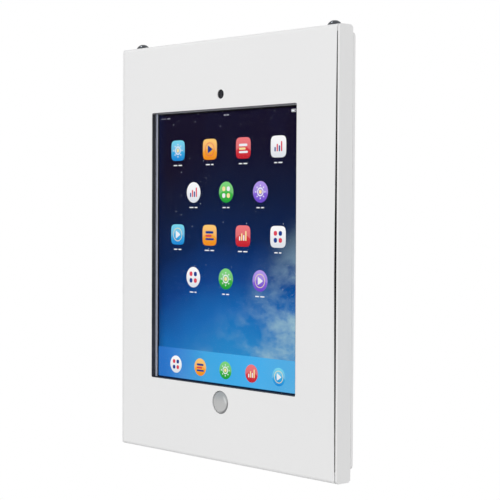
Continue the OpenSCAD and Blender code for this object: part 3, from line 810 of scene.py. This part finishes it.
def make(name: str, surface: Surface, finish: Finish, closed: bool = True) -> bpy.types.Object:
    """Puts a surface into the scene.

    Args:
        name: Name of the piece.
        surface: Points in millimetres, and faces.
        finish: Its finish.
        closed: True for a closed form, whose points are merged and whose faces are turned outwards.

    Returns:
        The new object, at the origin.
    """
    points, faces = surface
    mesh = bpy.data.meshes.new(name)
    mesh.vertices.add(len(points))
    mesh.vertices.foreach_set("co", (points * MM).astype(np.float32).ravel())
    mesh.loops.add(faces.size)
    mesh.loops.foreach_set("vertex_index", faces.astype(np.int32).ravel())
    mesh.polygons.add(len(faces))
    mesh.polygons.foreach_set("loop_start", np.arange(0, faces.size, 4, dtype=np.int32))
    mesh.update(calc_edges=True)
    mesh.validate()
    if closed:
        work = bmesh.new()
        work.from_mesh(mesh)
        bmesh.ops.remove_doubles(work, verts=work.verts, dist=1e-6)
        bmesh.ops.dissolve_degenerate(work, edges=work.edges, dist=1e-7)
        bmesh.ops.recalc_face_normals(work, faces=work.faces)
        work.to_mesh(mesh)
        work.free()
    mesh.shade_smooth()
    mesh.set_sharp_from_angle(angle=SHARP_TURNED)
    piece = bpy.data.objects.new(name, mesh)
    bpy.context.scene.collection.objects.link(piece)
    mesh.materials.append(finish.material())
    return piece


@dataclass
class Frame:
    """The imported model, with shortcuts for placing and dressing pieces."""

    data: dict[str, Any]

    def body_of(self, node: str) -> str:
        """Gives the body that a node belongs to."""
        groups = self.data["record"]["behaviour"]["bodies"]
        return next(body for body, members in groups.items() if node in members)

    def low_high(self, node: str) -> tuple[np.ndarray, np.ndarray]:
        """Gives a node's lowest and highest corners in millimetres."""
        low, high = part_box(node)
        return np.array(low) / MM, np.array(high) / MM

    def dress(self, node: str, finish: Finish) -> None:
        """Gives a node of the frame its finish.

        Args:
            node: Name of the node.
            finish: The finish.
        """
        mesh = self.data["nodes"][node].data
        mesh.materials.clear()
        mesh.materials.append(finish.material())
        log.info("dressed %s in %s", node, finish.name)

    def stand_in(self, piece: bpy.types.Object, *nodes: str) -> bpy.types.Object:
        """Lets a piece ride with, and stand for, nodes of the frame.

        Args:
            piece: The new piece.
            *nodes: The nodes that it replaces, all on one body.

        Returns:
            The piece.
        """
        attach(piece, self.body_of(nodes[0]))
        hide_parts(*nodes)
        log.info("%s: %d faces, for %s", piece.name, len(piece.data.polygons), ", ".join(nodes))
        return piece

    def softened(self, node: str, finish: Finish, width: float, steps: int = 2) -> bpy.types.Object:
        """Copies a node with its sharp edges rounded off.

        Args:
            node: The node.
            finish: Its finish.
            width: Width of the rounding, in millimetres.
            steps: Pieces in each rounding.

        Returns:
            The piece, which stands for the node.
        """
        mesh = self.data["nodes"][node].data.copy()
        work = bmesh.new()
        work.from_mesh(mesh)
        bmesh.ops.remove_doubles(work, verts=work.verts, dist=2e-6)
        bmesh.ops.dissolve_limit(work, angle_limit=math.radians(0.6), verts=work.verts, edges=work.edges)
        work.to_mesh(mesh)
        work.free()
        mesh.shade_smooth()
        mesh.set_sharp_from_angle(angle=SHARP_SHEET)
        mesh.materials.clear()
        mesh.materials.append(finish.material())
        piece = bpy.data.objects.new(node + "_soft", mesh)
        bpy.context.scene.collection.objects.link(piece)
        bevel = piece.modifiers.new("edge", "BEVEL")
        bevel.width, bevel.segments = width * MM, steps
        bevel.limit_method, bevel.angle_limit = "ANGLE", SHARP_SHEET
        bevel.use_clamp_overlap = True
        weighted = piece.modifiers.new("flatness", "WEIGHTED_NORMAL")
        weighted.weight, weighted.keep_sharp = 80, True
        return self.stand_in(piece, node)


# Sub-assemblies


@dataclass
class Assembly:
    """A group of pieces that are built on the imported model."""

    frame: Frame


@dataclass
class SheetWork(Assembly):
    """Front cover, rear case, wall plate and shelves, all with the rounded edges of coated sheet."""

    edge: float = 0.15
    coated: tuple[str, ...] = ("front_cover", "rear_case", "wall_plate", "tablet_shelves")

    def build(self) -> None:
        """Rounds and coats the sheet parts."""
        for node in self.coated:
            self.frame.softened(node, WHITE_COAT, self.edge)
        self.frame.softened("lock_nuts", ZINC, 0.3, 3)


@dataclass
class Seals(Assembly):
    """Foam strips, window lining, pads and grommet."""

    foam: tuple[str, ...] = ("foam_left", "foam_right", "foam_top", "shelf_pads", "back_pads")
    rounding: dict[str, float] = field(
        default_factory=lambda: {"foam_right": 0.08, "shelf_pads": 0.35, "back_pads": 0.35}
    )
    fill: float = 0.9

    def build(self) -> None:
        for node in self.foam:
            piece = self.frame.softened(node, BLACK_FOAM, self.rounding.get(node, 0.7), 3)
        for node, finish in (("window_gasket", LINING), ("camera_ring", HOLE_LINING)):
            self.frame.softened(node, finish, 0.15)
        self.frame.softened("cable_grommet", BLACK_RUBBER, 0.35, 3)


@dataclass
class Screw(Assembly):
    """What the screws share: a head, a recess in it and a rolled thread."""

    head_r: float
    head_h: float
    shank_r: float
    pitch: float
    thread: float

    def cut(
        self,
        rows: Sequence[np.ndarray],
        recess: tuple[int, int],
        figure: Callable[[np.ndarray], np.ndarray],
        hand: int,
        axis: Axis,
        at: Triple,
        segments: int,
    ) -> Surface:
        """Turns a profile into a screw.

        Rows inside the recess are scaled by figure(f), and rows on the shank lose
        thread * |saw(h / pitch + hand * f / 2 pi)|, where saw runs from -1 to 1.

        Args:
            rows: Stretches of the profile. The last two are the shank and the tip.
            recess: First row of the recess, and the row after its last.
            figure: Factor on the radius by angle.
            hand: 1 or -1, for the thread's turn about the axis.
            axis: The axis.
            at: Middle of the head's underside.
            segments: Number of points round the axis.

        Returns:
            Points and faces.
        """
        ends = np.cumsum([len(part) for part in rows])
        profile = np.concatenate(rows)
        height = profile[:, 1][:, None]

        def shape(row: np.ndarray, angle: np.ndarray) -> np.ndarray:
            """Factor on the radius of each row and angle."""
            inside = ((row >= recess[0]) & (row < recess[1])).astype(float)
            on_shank = ((row >= ends[-3]) & (row < ends[-2])).astype(float)
            saw = np.abs(2 * np.mod(height / self.pitch + hand * angle / (2 * math.pi), 1) - 1)
            return (1 - inside) + inside * figure(angle) - on_shank * saw * self.thread / self.shank_r

        return turned(profile, axis, at, segments, shape)


@dataclass
class LockScrew(Screw):
    """Dome-head screw with a six-sided recess round a small pin."""

    head_r: float = 5.0
    head_h: float = 4.0
    shank_r: float = 2.0
    pitch: float = 0.8
    thread: float = 0.28
    rim_h: float = 0.8
    recess_r: float = 1.75
    recess_depth: float = 2.0
    pin_r: float = 0.6
    pin_drop: float = 0.25
    shank_len: float = 8.6

    def surface(self, at: Triple, turn: float) -> Surface:
        """Works out one screw.

        The head is a dome r(h) of radius (R^2 + c^2) / 2c. The six-sided recess is cos(30) / cos(m), m being the angle
        from the middle of the nearest side.

        Args:
            at: Middle of the head's underside.
            turn: Turn of the recess, in degrees.

        Returns:
            Points and faces.
        """
        rise = self.head_h - self.rim_h
        dome = (self.head_r**2 + rise**2) / (2 * rise)
        top, floor = self.head_h, self.head_h - self.recess_depth
        r = np.linspace(self.recess_r + 0.25, self.head_r - 0.02, 14)
        arc = np.stack([r, top - dome + np.sqrt(dome**2 - r**2)], -1)
        mouth = top - dome + math.sqrt(dome**2 - self.recess_r**2)
        pin = filleted([
            (0, top - self.pin_drop, 0), (self.pin_r, top - self.pin_drop, 0.2), (self.pin_r, floor, 0.1),
            (self.recess_r * 0.97, floor, 0),
        ])
        wall = np.array([
            [self.recess_r, floor + 0.1], [self.recess_r, mouth - 0.15], [self.recess_r + 0.08, mouth - 0.02],
        ])
        skirt = filleted([(self.head_r, self.rim_h, 0), (self.head_r, 0, 0.25), (self.shank_r, 0, 0)])
        h = np.linspace(-0.05, -self.shank_len + 0.6, 74)
        shank = np.stack([np.full_like(h, self.shank_r), h], -1)
        tip = np.array([[self.shank_r - 0.5, -self.shank_len], [0.0, -self.shank_len]])

        def six(angle: np.ndarray) -> np.ndarray:
            """Six-sided factor on the radius."""
            side = math.pi / 3
            return math.cos(side / 2) / np.cos(np.mod(angle + math.radians(turn), side) - side / 2)

        recess = (len(pin) - 1, len(pin) + len(wall))
        return self.cut([pin, wall, arc, skirt, shank, tip], recess, six, -1, Axis.Z, at, 72)

    def build(self) -> None:
        """Places the two screws where the frame has them."""
        low, high = self.frame.low_high("lock_screws")
        y, z = (low[1] + high[1]) / 2, high[2] - self.head_h
        x = high[0] - self.head_r
        both = joined(self.surface((-x, y, z), 12.0), self.surface((x, y, z), 41.0))
        self.frame.stand_in(make("lock_screw_pair", both, GUNMETAL), "lock_screws")


@dataclass
class CaseScrew(Screw):
    """Pan-head screw with a cross recess, driven along +Y."""

    head_r: float = 4.0
    head_h: float = 2.4
    shank_r: float = 1.6
    pitch: float = 0.7
    thread: float = 0.22

    def surface(self, at: Triple, length: float, turn: float) -> Surface:
        """Works out one screw. The cross is 1 - 0.62 * sin(2f)^2.

        Args:
            at: Middle of the head's underside.
            length: Length of the shank.
            turn: Turn of the cross, in degrees.

        Returns:
            Points and faces.
        """
        h = self.head_h
        well = np.array([[0.0, -h + 1.3], [1.0, -h + 1.25], [1.7, -h + 0.6], [2.1, -h + 0.04], [2.2, -h]])
        head = filleted([(2.35, -h, 0), (self.head_r, -h, 1.3), (self.head_r, 0, 0.15), (self.shank_r, 0, 0)], 7)
        y = np.linspace(0.05, length - 0.4, 40)
        shank = np.stack([np.full_like(y, self.shank_r), y], -1)
        tip = np.array([[self.shank_r - 0.35, length], [0.0, length]])

        def cross(angle: np.ndarray) -> np.ndarray:
            """Cross-shaped factor on the radius."""
            return 1 - 0.62 * np.sin(2 * (angle + math.radians(turn))) ** 2

        return self.cut([well, head, shank, tip], (0, len(well)), cross, 1, Axis.Y, at, 48)

    def build(self) -> None:
        """Places the four screws where the frame has them."""
        low, high = self.frame.low_high("case_screws")
        x, z, y = high[0] - self.head_r, high[2] - self.head_r, low[1] + self.head_h
        spots = [(sx * x, y, sz * z) for sx in (-1, 1) for sz in (-1, 1)]
        four = joined(*(self.surface(spot, high[1] - y, 17.0 * i) for i, spot in enumerate(spots)))
        self.frame.stand_in(make("case_screw_set", four, ZINC), "case_screws")


@dataclass
class TurnedParts(Assembly):
    """Key cap and its ring, home key, camera and pins: parts turned from a profile."""

    cap_r: float = 7.95
    cap_dish: float = 0.12
    cap_flange_r: float = 9.4
    cap_flange: tuple[float, float] = (1.15, 1.85)
    pip_r: float = 4.2
    key_rim: float = 0.7
    ring_hole_r: float = 6.0
    ring_floor: float = 0.3
    ring_gap: float = 0.2
    pin_len: float = 3.4

    def cap(self) -> None:
        """Key cap: a face with a rounded rim and a shallow dish, a flange behind, and a pip."""
        low, high = self.frame.low_high("home_key_cap")
        x0, z0 = (low[0] + high[0]) / 2, (low[2] + high[2]) / 2
        front, rear = low[1], high[1]
        flange, back = (front + depth for depth in self.cap_flange)
        flat_r = self.cap_r - 1.2
        dish = np.stack([np.linspace(0, flat_r, 12), np.linspace(0, 1, 12)], -1)
        dish[:, 1] = front + self.cap_dish * (1 - (dish[:, 0] / flat_r) ** 2)
        rest = filleted([
            (self.cap_r - 1.1, front, 0), (self.cap_r, front, 0.5), (self.cap_r, flange, 0.1),
            (self.cap_flange_r, flange, 0.15), (self.cap_flange_r, back, 0.15), (self.pip_r, back, 0.1),
            (self.pip_r, rear, 0.25), (0, rear, 0),
        ])
        shape = turned(np.concatenate([dish, rest]), Axis.Y, (x0, 0, z0), 96)
        self.frame.stand_in(make("key_cap_disc", shape, CAP_FROST), "home_key_cap")

    def home_key(self) -> None:
        """Home key of the tablet: a dished disc with a thin raised rim."""
        low, high = self.frame.low_high("tablet_home_key")
        r, z = (high[0] - low[0]) / 2, (low[2] + high[2]) / 2
        x = np.linspace(0, r - self.key_rim, 14)
        dish = np.stack([x, low[1] + 0.06 + 0.22 * (1 - (x / (r - self.key_rim)) ** 2)], -1)
        rest = filleted([(r - 0.55, low[1], 0), (r, low[1], 0.2), (r, high[1], 0.2), (0, high[1], 0)])
        shape = turned(np.concatenate([dish, rest]), Axis.Y, (0, 0, z), 80)
        self.frame.stand_in(make("home_key_disc", shape, KEY_WHITE), "tablet_home_key")

    def camera(self) -> None:
        """Front camera: a barrel with a stepped cone down to a small glass dome."""
        low, high = self.frame.low_high("tablet_camera")
        r, z = (high[0] - low[0]) / 2, (low[2] + high[2]) / 2
        x = np.linspace(0, 0.85, 7)
        dome = np.stack([x, low[1] + 0.25 + 0.5 * (x / 0.85) ** 2], -1)
        steps = ((0.95, 0.75), (1.2, 0.75), (1.3, 0.5), (1.55, 0.5), (1.7, 0.2), (2.1, 0.2))
        cone = filleted([
            *((radius, low[1] + depth, 0) for radius, depth in steps),
            (2.2, low[1], 0.05), (r, low[1], 0.15), (r, high[1], 0.2), (0, high[1], 0),
        ], 3)
        shape = turned(np.concatenate([dome, cone]), Axis.Y, (0, 0, z), 48)
        self.frame.stand_in(make("camera_barrel", shape, LENS_BLACK), "tablet_camera")

    def ring(self) -> None:
        """Ring that traps the key cap, as one closed profile with soft edges."""
        low, high = self.frame.low_high("cap_retainer")
        outer, x, z = (high[0] - low[0]) / 2, (low[0] + high[0]) / 2, (low[2] + high[2]) / 2
        hole, well, floor = self.ring_hole_r, self.cap_flange_r + self.ring_gap, high[1] - self.ring_floor
        profile = filleted([
            (outer - 0.5, low[1], 0), (outer, low[1], 0.15), (outer, high[1], 0.4), (hole, high[1], 0.15),
            (hole, floor, 0.05), (well, floor, 0.05), (well, low[1], 0.15), (outer - 0.5, low[1], 0),
        ])
        shape = turned(profile, Axis.Y, (x, 0, z), 80)
        self.frame.stand_in(make("cap_ring", shape, DARK_PLASTIC), "cap_retainer")

    def pins(self) -> None:
        """Pivot pins with turned ends."""
        low, high = self.frame.low_high("pivot_pins")
        r, y, z = (high[1] - low[1]) / 2, (low[1] + high[1]) / 2, (low[2] + high[2]) / 2
        profile = filleted([(0, 0, 0), (r, 0, 0), (r, self.pin_len, 0.35), (0, self.pin_len, 0)])
        mirrored = profile * np.array([1.0, -1.0])
        two = joined(turned(profile, Axis.X, (-high[0], y, z), 40), turned(mirrored, Axis.X, (high[0], y, z), 40))
        self.frame.stand_in(make("pivot_pin_pair", two, ZINC), "pivot_pins")

    def build(self) -> None:
        """Builds every turned part."""
        for part in (self.cap, self.home_key, self.camera, self.ring, self.pins):
            part()


class Hue(Enum):
    """Tile colours: node suffix, tone at the top, tone at the foot."""

    GREEN = ("green", "5fd35a", "1f9b38")
    WHITE = ("white", "ffffff", "dfe3ea")
    RED = ("red", "f2545c", "c01e2c")
    AMBER = ("amber", "ffc64a", "f08a1c")
    CYAN = ("cyan", "52d2ee", "1a84d6")
    VIOLET = ("violet", "a884ec", "6a48c8")


class Sign(Enum):
    """Plain signs on the tiles."""

    SUN = 0
    CHART = 1
    ARROW = 2
    PETALS = 3
    LINES = 4


@dataclass(frozen=True)
class Tile:
    """One tile of the picture."""

    x: float
    z: float
    size: float
    round: bool
    hue: Hue
    sign: Sign
    in_band: bool


@dataclass(frozen=True)
class Pen:
    """Draws flat marks about a point. Places and sizes are shares of a unit of length."""

    x: float
    z: float
    unit: float
    y: float

    def outline(self, dx: float, dz: float, w: float, h: float, power: float, count: int) -> np.ndarray:
        """Gives an oval outline of a width and height, at a place beside the point."""
        return oval(self.x + dx * self.unit, self.z + dz * self.unit, w * self.unit, h * self.unit, power, count)

    def spot(self, dx: float, dz: float, w: float, h: float, power: float, count: int) -> Surface:
        """Fills such an outline."""
        return flat(self.outline(dx, dz, w, h, power, count), self.y)

    def ring(self, outer: float, inner: float, count: int) -> Surface:
        """Draws a ring round the point."""
        rim, hole = (self.outline(0, 0, width, width, 2, count) for width in (outer, inner))
        return flat(rim, self.y, hole)


@dataclass
class Picture(Assembly):
    """The lit picture: tiles with plain signs, short label bars and status marks over a night sky."""

    tile_part: float = 0.1015
    pitch: float = 0.237
    row_pitch: float = 0.157
    band_part: float = 0.122
    rows: int = 4
    low: np.ndarray = field(init=False)
    high: np.ndarray = field(init=False)

    def tiles(self) -> list[Tile]:
        """Lays out the tiles as the frame has them.

        Returns:
            Rows of four square and three round tiles in turn, and five small round ones in the band.
        """
        width, height = self.high[0] - self.low[0], self.high[2] - self.low[2]
        size, step = width * self.tile_part, height * self.row_pitch
        hues, found = list(Hue), []
        for row in range(self.rows):
            count = 4 if row % 2 == 0 else 3
            for col in range(count):
                found.append(Tile(
                    (col - (count - 1) / 2) * width * self.pitch, self.high[2] - step * (row + 0.87), size,
                    row % 2 == 1, hues[(3 * row + 5 * col + 4) % 6], Sign((row + 2 * col) % 5), False,
                ))
        for col in range(5):
            found.append(Tile(
                (col - 2) * size * 1.8, self.low[2] + height * self.band_part / 2, size * 0.87, True,
                hues[(2 * col + 1) % 5], Sign((col + 3) % 5), True,
            ))
        return found

    def tile_surface(self, tile: Tile, front: float, back: float) -> Surface:
        """One tile as a thin pillow.

        P(s, f) = centre + s * R(f) * (cos f, sin f), at depth front + (back - front) * max(0, (s - 0.93) / 0.07) ** 2.

        Args:
            tile: The tile.
            front: Depth of its face.
            back: Depth of what it lies on.

        Returns:
            Points and faces.
        """
        rim = oval(0, 0, tile.size, tile.size, 2.0 if tile.round else 4.6, 72)
        s = np.array([0.0, 0.3, 0.6, 0.8, 0.93, 0.965, 1.0])[:, None, None]
        grid = rim[None] * s
        depth = front + (back - front) * np.maximum(0, (s[..., 0] - 0.93) / 0.07) ** 2
        y = np.broadcast_to(depth, grid.shape[:2])
        points = np.stack([grid[..., 0] + tile.x, y, grid[..., 1] + tile.z], -1).reshape(-1, 3)
        return points, quads(len(s), 72, True)[:, ::-1]

    def sign(self, tile: Tile, y: float) -> tuple[list[Surface], list[Surface]]:
        """Draws a tile's sign in its main and its second tone.

        Args:
            tile: The tile.
            y: Depth of the marks.

        Returns:
            Figures in the main tone, and figures in the second tone.
        """
        pen = Pen(tile.x, tile.z, tile.size, y)
        if tile.sign is Sign.SUN:
            turns = np.linspace(0, 2 * math.pi, 8, endpoint=False)
            rays = [pen.spot(0.3 * math.cos(a), 0.3 * math.sin(a), 0.075, 0.075, 2, 16) for a in turns]
            return [pen.ring(0.42, 0.3, 40), *rays], [pen.spot(0, 0, 0.2, 0.2, 2, 24)]
        if tile.sign is Sign.CHART:
            heights = enumerate((0.2, 0.34, 0.27, 0.46))
            bars = [pen.spot((i - 1.5) * 0.14, h / 2 - 0.22, 0.085, h, 8, 24) for i, h in heights]
            return bars[::2], bars[1::2]
        if tile.sign is Sign.ARROW:
            arrow = polygon(tile.x - 0.02 * tile.size, tile.z, 0.24 * tile.size, 3, 0, 0.12)
            return [flat(arrow, y)], [pen.ring(0.66, 0.6, 48)]
        if tile.sign is Sign.PETALS:
            corners = ((-1, -1), (1, -1), (-1, 1), (1, 1))
            petals = [pen.spot(0.16 * c, 0.16 * d, 0.22, 0.22, 2.6, 28) for c, d in corners]
            return [petals[0], petals[3]], [petals[1], petals[2]]
        lines = ((0, 0.14, 0.56, 0.12), (-0.06, -0.03, 0.44, 0.1), (0.02, -0.19, 0.6, 0.1))
        wide, mid, low = (pen.spot(*line, 6, 28) for line in lines)
        return [wide, low], [mid]

    def labels(self, tiles: Sequence[Tile], y: float) -> list[Surface]:
        """Short bars under the tiles, in place of words.

        Args:
            tiles: All the tiles.
            y: Depth of the marks.

        Returns:
            The figures.
        """
        found: list[Surface] = []
        rng = np.random.default_rng(7)
        for tile in tiles:
            if tile.in_band:
                continue
            z = tile.z - tile.size * 0.73
            lengths = tile.size * np.array([0.2 + 0.14 * rng.random(), 0.14 + 0.16 * rng.random()])
            start = tile.x - (lengths.sum() + 0.07 * tile.size) / 2
            for length in lengths:
                found.append(flat(oval(start + length / 2, z, length, tile.size * 0.055, 4, 20), y))
                start += length + 0.07 * tile.size
        return found

    def status(self, y: float) -> tuple[list[Surface], list[Surface]]:
        """Small marks along the top: dots and a bar at the left, two bars in the middle, a cell at the right.

        Args:
            y: Depth of the marks.

        Returns:
            The dim figures, and the bright cell.
        """
        unit = self.high[0] * self.tile_part * 2
        z = self.high[2] - unit * 0.2
        left, middle, right = (Pen(x, z, unit, y) for x in (self.low[0], 0.0, self.high[0] - unit * 0.45))
        dim = [left.spot(0.2 + 0.09 * i, 0, 0.05, 0.05, 2, 16) for i in range(4)]
        dim.append(left.spot(0.72, 0, 0.22, 0.045, 4, 20))
        dim += [middle.spot(d, 0, w, 0.06, 4, 20) for d, w in ((-0.11, 0.14), (0.09, 0.18))]
        cell, inner = (right.outline(0, 0, w, h, 6, 28) for w, h in ((0.3, 0.13), (0.26, 0.09)))
        return dim, [flat(cell, y, inner), right.spot(-0.03, 0, 0.18, 0.06, 6, 20)]

    def build(self) -> None:
        """Builds the picture on the frame's own layers."""
        self.low, self.high = self.frame.low_high("screen_backdrop")
        self.frame.dress("screen_backdrop", NightSky("night_sky", "102f60"))
        self.frame.dress("screen_band", PaleBand("pale_band", "4aa8e8"))
        tiles = self.tiles()
        for hue in Hue:
            name, top, foot = hue.value
            node = "screen_tiles_" + name
            low, high = self.frame.low_high(node)
            own = [t for t in tiles if t.hue is hue]
            shape = joined(*(self.tile_surface(t, low[1], high[1]) for t in own))
            piece = make("tiles_" + name, shape, TileGlow("tile_" + name, top, deep=foot), closed=False)
            self.map_uv(piece, own)
            self.frame.stand_in(piece, node)
        y = self.frame.low_high("screen_marks_dark")[0][1]
        dim, bright = self.status(y)
        tones: dict[str, list[Surface]] = {
            "light": self.labels(tiles, y) + bright, "light_2": [], "light_3": dim, "dark": [], "dark_2": [],
        }
        for tile in tiles:
            key = "dark" if tile.hue in (Hue.WHITE, Hue.AMBER) else "light"
            main, second = self.sign(tile, y)
            tones[key] += main
            tones[key + "_2"] += second
        colours = {"light": "f4f6fb", "light_2": "ffe9a8", "light_3": "a9abb8", "dark": "1f3f8f", "dark_2": "e0465a"}
        for key, figures in tones.items():
            piece = make("marks_" + key, joined(*figures), MarkGlow("mark_" + key, colours[key]), closed=False)
            node = "screen_marks_" + key.split("_")[0]
            self.frame.stand_in(piece, node)

    @staticmethod
    def map_uv(piece: bpy.types.Object, tiles: Sequence[Tile]) -> None:
        """Gives each tile its own UV square: u = 0.5 + (x - x0) / size, v = 0.5 + (z - z0) / size.

        Args:
            piece: The mesh of all tiles of one colour.
            tiles: Its tiles, in the mesh's order.
        """
        mesh = piece.data
        count = len(mesh.vertices)
        co = np.empty(count * 3, np.float32)
        mesh.vertices.foreach_get("co", co)
        co = co.reshape(-1, 3) / MM
        each = np.repeat(np.array([[t.x, t.z, t.size] for t in tiles]), count // len(tiles), axis=0)
        uv = 0.5 + (co[:, [0, 2]] - each[:, :2]) / each[:, 2:]
        index = np.empty(len(mesh.loops), np.int32)
        mesh.loops.foreach_get("vertex_index", index)
        mesh.uv_layers.new(name="UVMap").data.foreach_set("uv", uv[index].astype(np.float32).ravel())


@dataclass
class Tablet(Assembly):
    """Shell, glass, painted border, display and the parts inside."""

    def build(self) -> None:
        """Rounds and dresses the tablet's own parts."""
        self.frame.softened("tablet_shell", TABLET_METAL, 0.4, 3)
        for node, finish in (
            ("tablet_glass", GLASS), ("tablet_bezel", WHITE_PAINT), ("tablet_display", PANEL_BLACK),
            ("tablet_board", BOARD), ("home_switch", ZINC),
        ):
            self.frame.dress(node, finish)
        self.frame.softened("tablet_battery", BATTERY, 0.8, 3)
        for node in ("tablet_power_key", "tablet_volume_key"):
            self.frame.softened(node, TABLET_METAL, 0.3, 3)


# The studio


@dataclass(frozen=True)
class PhotoCamera:
    """The camera that matches the photograph's view."""

    lens: float = 100.95
    azimuth: float = 46.274
    pitch: float = 1.62
    roll: float = 0.27
    position: Triple = (0.73387, -0.68952, 0.02883)

    def place(self) -> None:
        """Puts the camera into the scene. It looks along f = (-sin a cos p, cos a cos p, -sin p), rolled about f."""
        a, p, q = (math.radians(v) for v in (self.azimuth, self.pitch, self.roll))
        ahead = Vector((-math.sin(a) * math.cos(p), math.cos(a) * math.cos(p), -math.sin(p)))
        right = ahead.cross(Vector((0, 0, 1))).normalized()
        up = right.cross(ahead)
        r2 = right * math.cos(q) + up * math.sin(q)
        u2 = up * math.cos(q) - right * math.sin(q)
        data = bpy.data.cameras.new("photo_camera")
        data.lens, data.sensor_width, data.sensor_fit = self.lens, 36.0, "HORIZONTAL"
        data.clip_start, data.clip_end = 0.01, 50.0
        camera = bpy.data.objects.new("photo_camera", data)
        rows = [(r2[i], u2[i], -ahead[i], self.position[i]) for i in range(3)]
        camera.matrix_world = Matrix((*rows, (0, 0, 0, 1)))
        bpy.context.scene.collection.objects.link(camera)
        bpy.context.scene.camera = camera


@dataclass(frozen=True)
class Lamp:
    """A square area lamp aimed at the object."""

    name: str
    at: Triple
    size: float
    power: float

    def place(self) -> None:
        """Puts the lamp into the scene."""
        data = bpy.data.lights.new(self.name, "AREA")
        data.shape, data.size, data.energy = "SQUARE", self.size, self.power
        lamp = bpy.data.objects.new(self.name, data)
        lamp.location = self.at
        lamp.rotation_euler = (-Vector(self.at)).to_track_quat("-Z", "Y").to_euler()
        bpy.context.scene.collection.objects.link(lamp)


@dataclass(frozen=True)
class Studio:
    """White surroundings, soft lamps and a pale floor far below the mount."""

    ambient: float = 1.225
    under: float = 0.43
    over: float = 0.08
    floor_z: float = -1.35
    floor_size: float = 4.4
    lamps: tuple[Lamp, ...] = (
        Lamp("key", (-1.2, -4.5, 0.8), 1.4, 24.0),
        Lamp("fill", (2.4, -2.6, 0.2), 1.4, 9.0),
        Lamp("top", (-0.70, -0.35, 1.84), 0.32, 5.3),
    )

    def world(self) -> None:
        """Surroundings that show white to the camera and in gloss, and give the soft light, dimmer below and on top."""
        world = bpy.data.worlds.new("surroundings")
        bpy.context.scene.world = world
        world.use_nodes = True
        w = Wiring(world.node_tree)
        rays = w.add("LightPath").outputs
        seen = w.math("MAXIMUM", rays["Is Camera Ray"], rays["Is Glossy Ray"])
        clear = w.math("MAXIMUM", seen, rays["Is Transmission Ray"])
        up = w.parts(w.add("TexCoord").outputs["Generated"])[2]
        lower = w.span(up, -0.75, 0.1, self.under * self.ambient, self.ambient)
        light = w.times(lower, w.span(up, 0.1, 1.0, 1.0, self.over))
        strength = w.add("MapRange", i0=clear, i3=light, i4=1.0).outputs[0]
        shade = w.add("Background", i0="ffffff", i1=strength).outputs[0]
        w.add("OutputWorld", i0=shade)

    def floor(self) -> None:
        """A pale floor that keeps the object's shadow."""
        half = self.floor_size / 2 / MM
        corners = np.array([[-half, -half], [half, -half], [half, half], [-half, half]])
        points = np.column_stack([corners, np.full(4, self.floor_z / MM)])
        pale = PaleFloor("floor_pale", "9a9a9a", 0.9)
        piece = make("studio_floor", (points, np.array([[0, 1, 2, 3]])), pale, closed=False)

    def build(self) -> None:
        """Sets up the light and the floor."""
        self.world()
        self.floor()
        for lamp in self.lamps:
            lamp.place()


def main() -> None:
    """Builds the scene in order."""
    logging.basicConfig(level=logging.INFO, format="%(name)s: %(message)s")
    frame = Frame(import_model())
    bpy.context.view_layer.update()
    PhotoCamera().place()
    bpy.context.scene.view_settings.view_transform = "Standard"
    Studio().build()
    for kind in (SheetWork, Seals, LockScrew, CaseScrew, TurnedParts, Tablet, Picture):
        kind(frame).build()
        log.info("built %s", kind.__name__)
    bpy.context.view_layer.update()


if __name__ == "__main__":
    main()
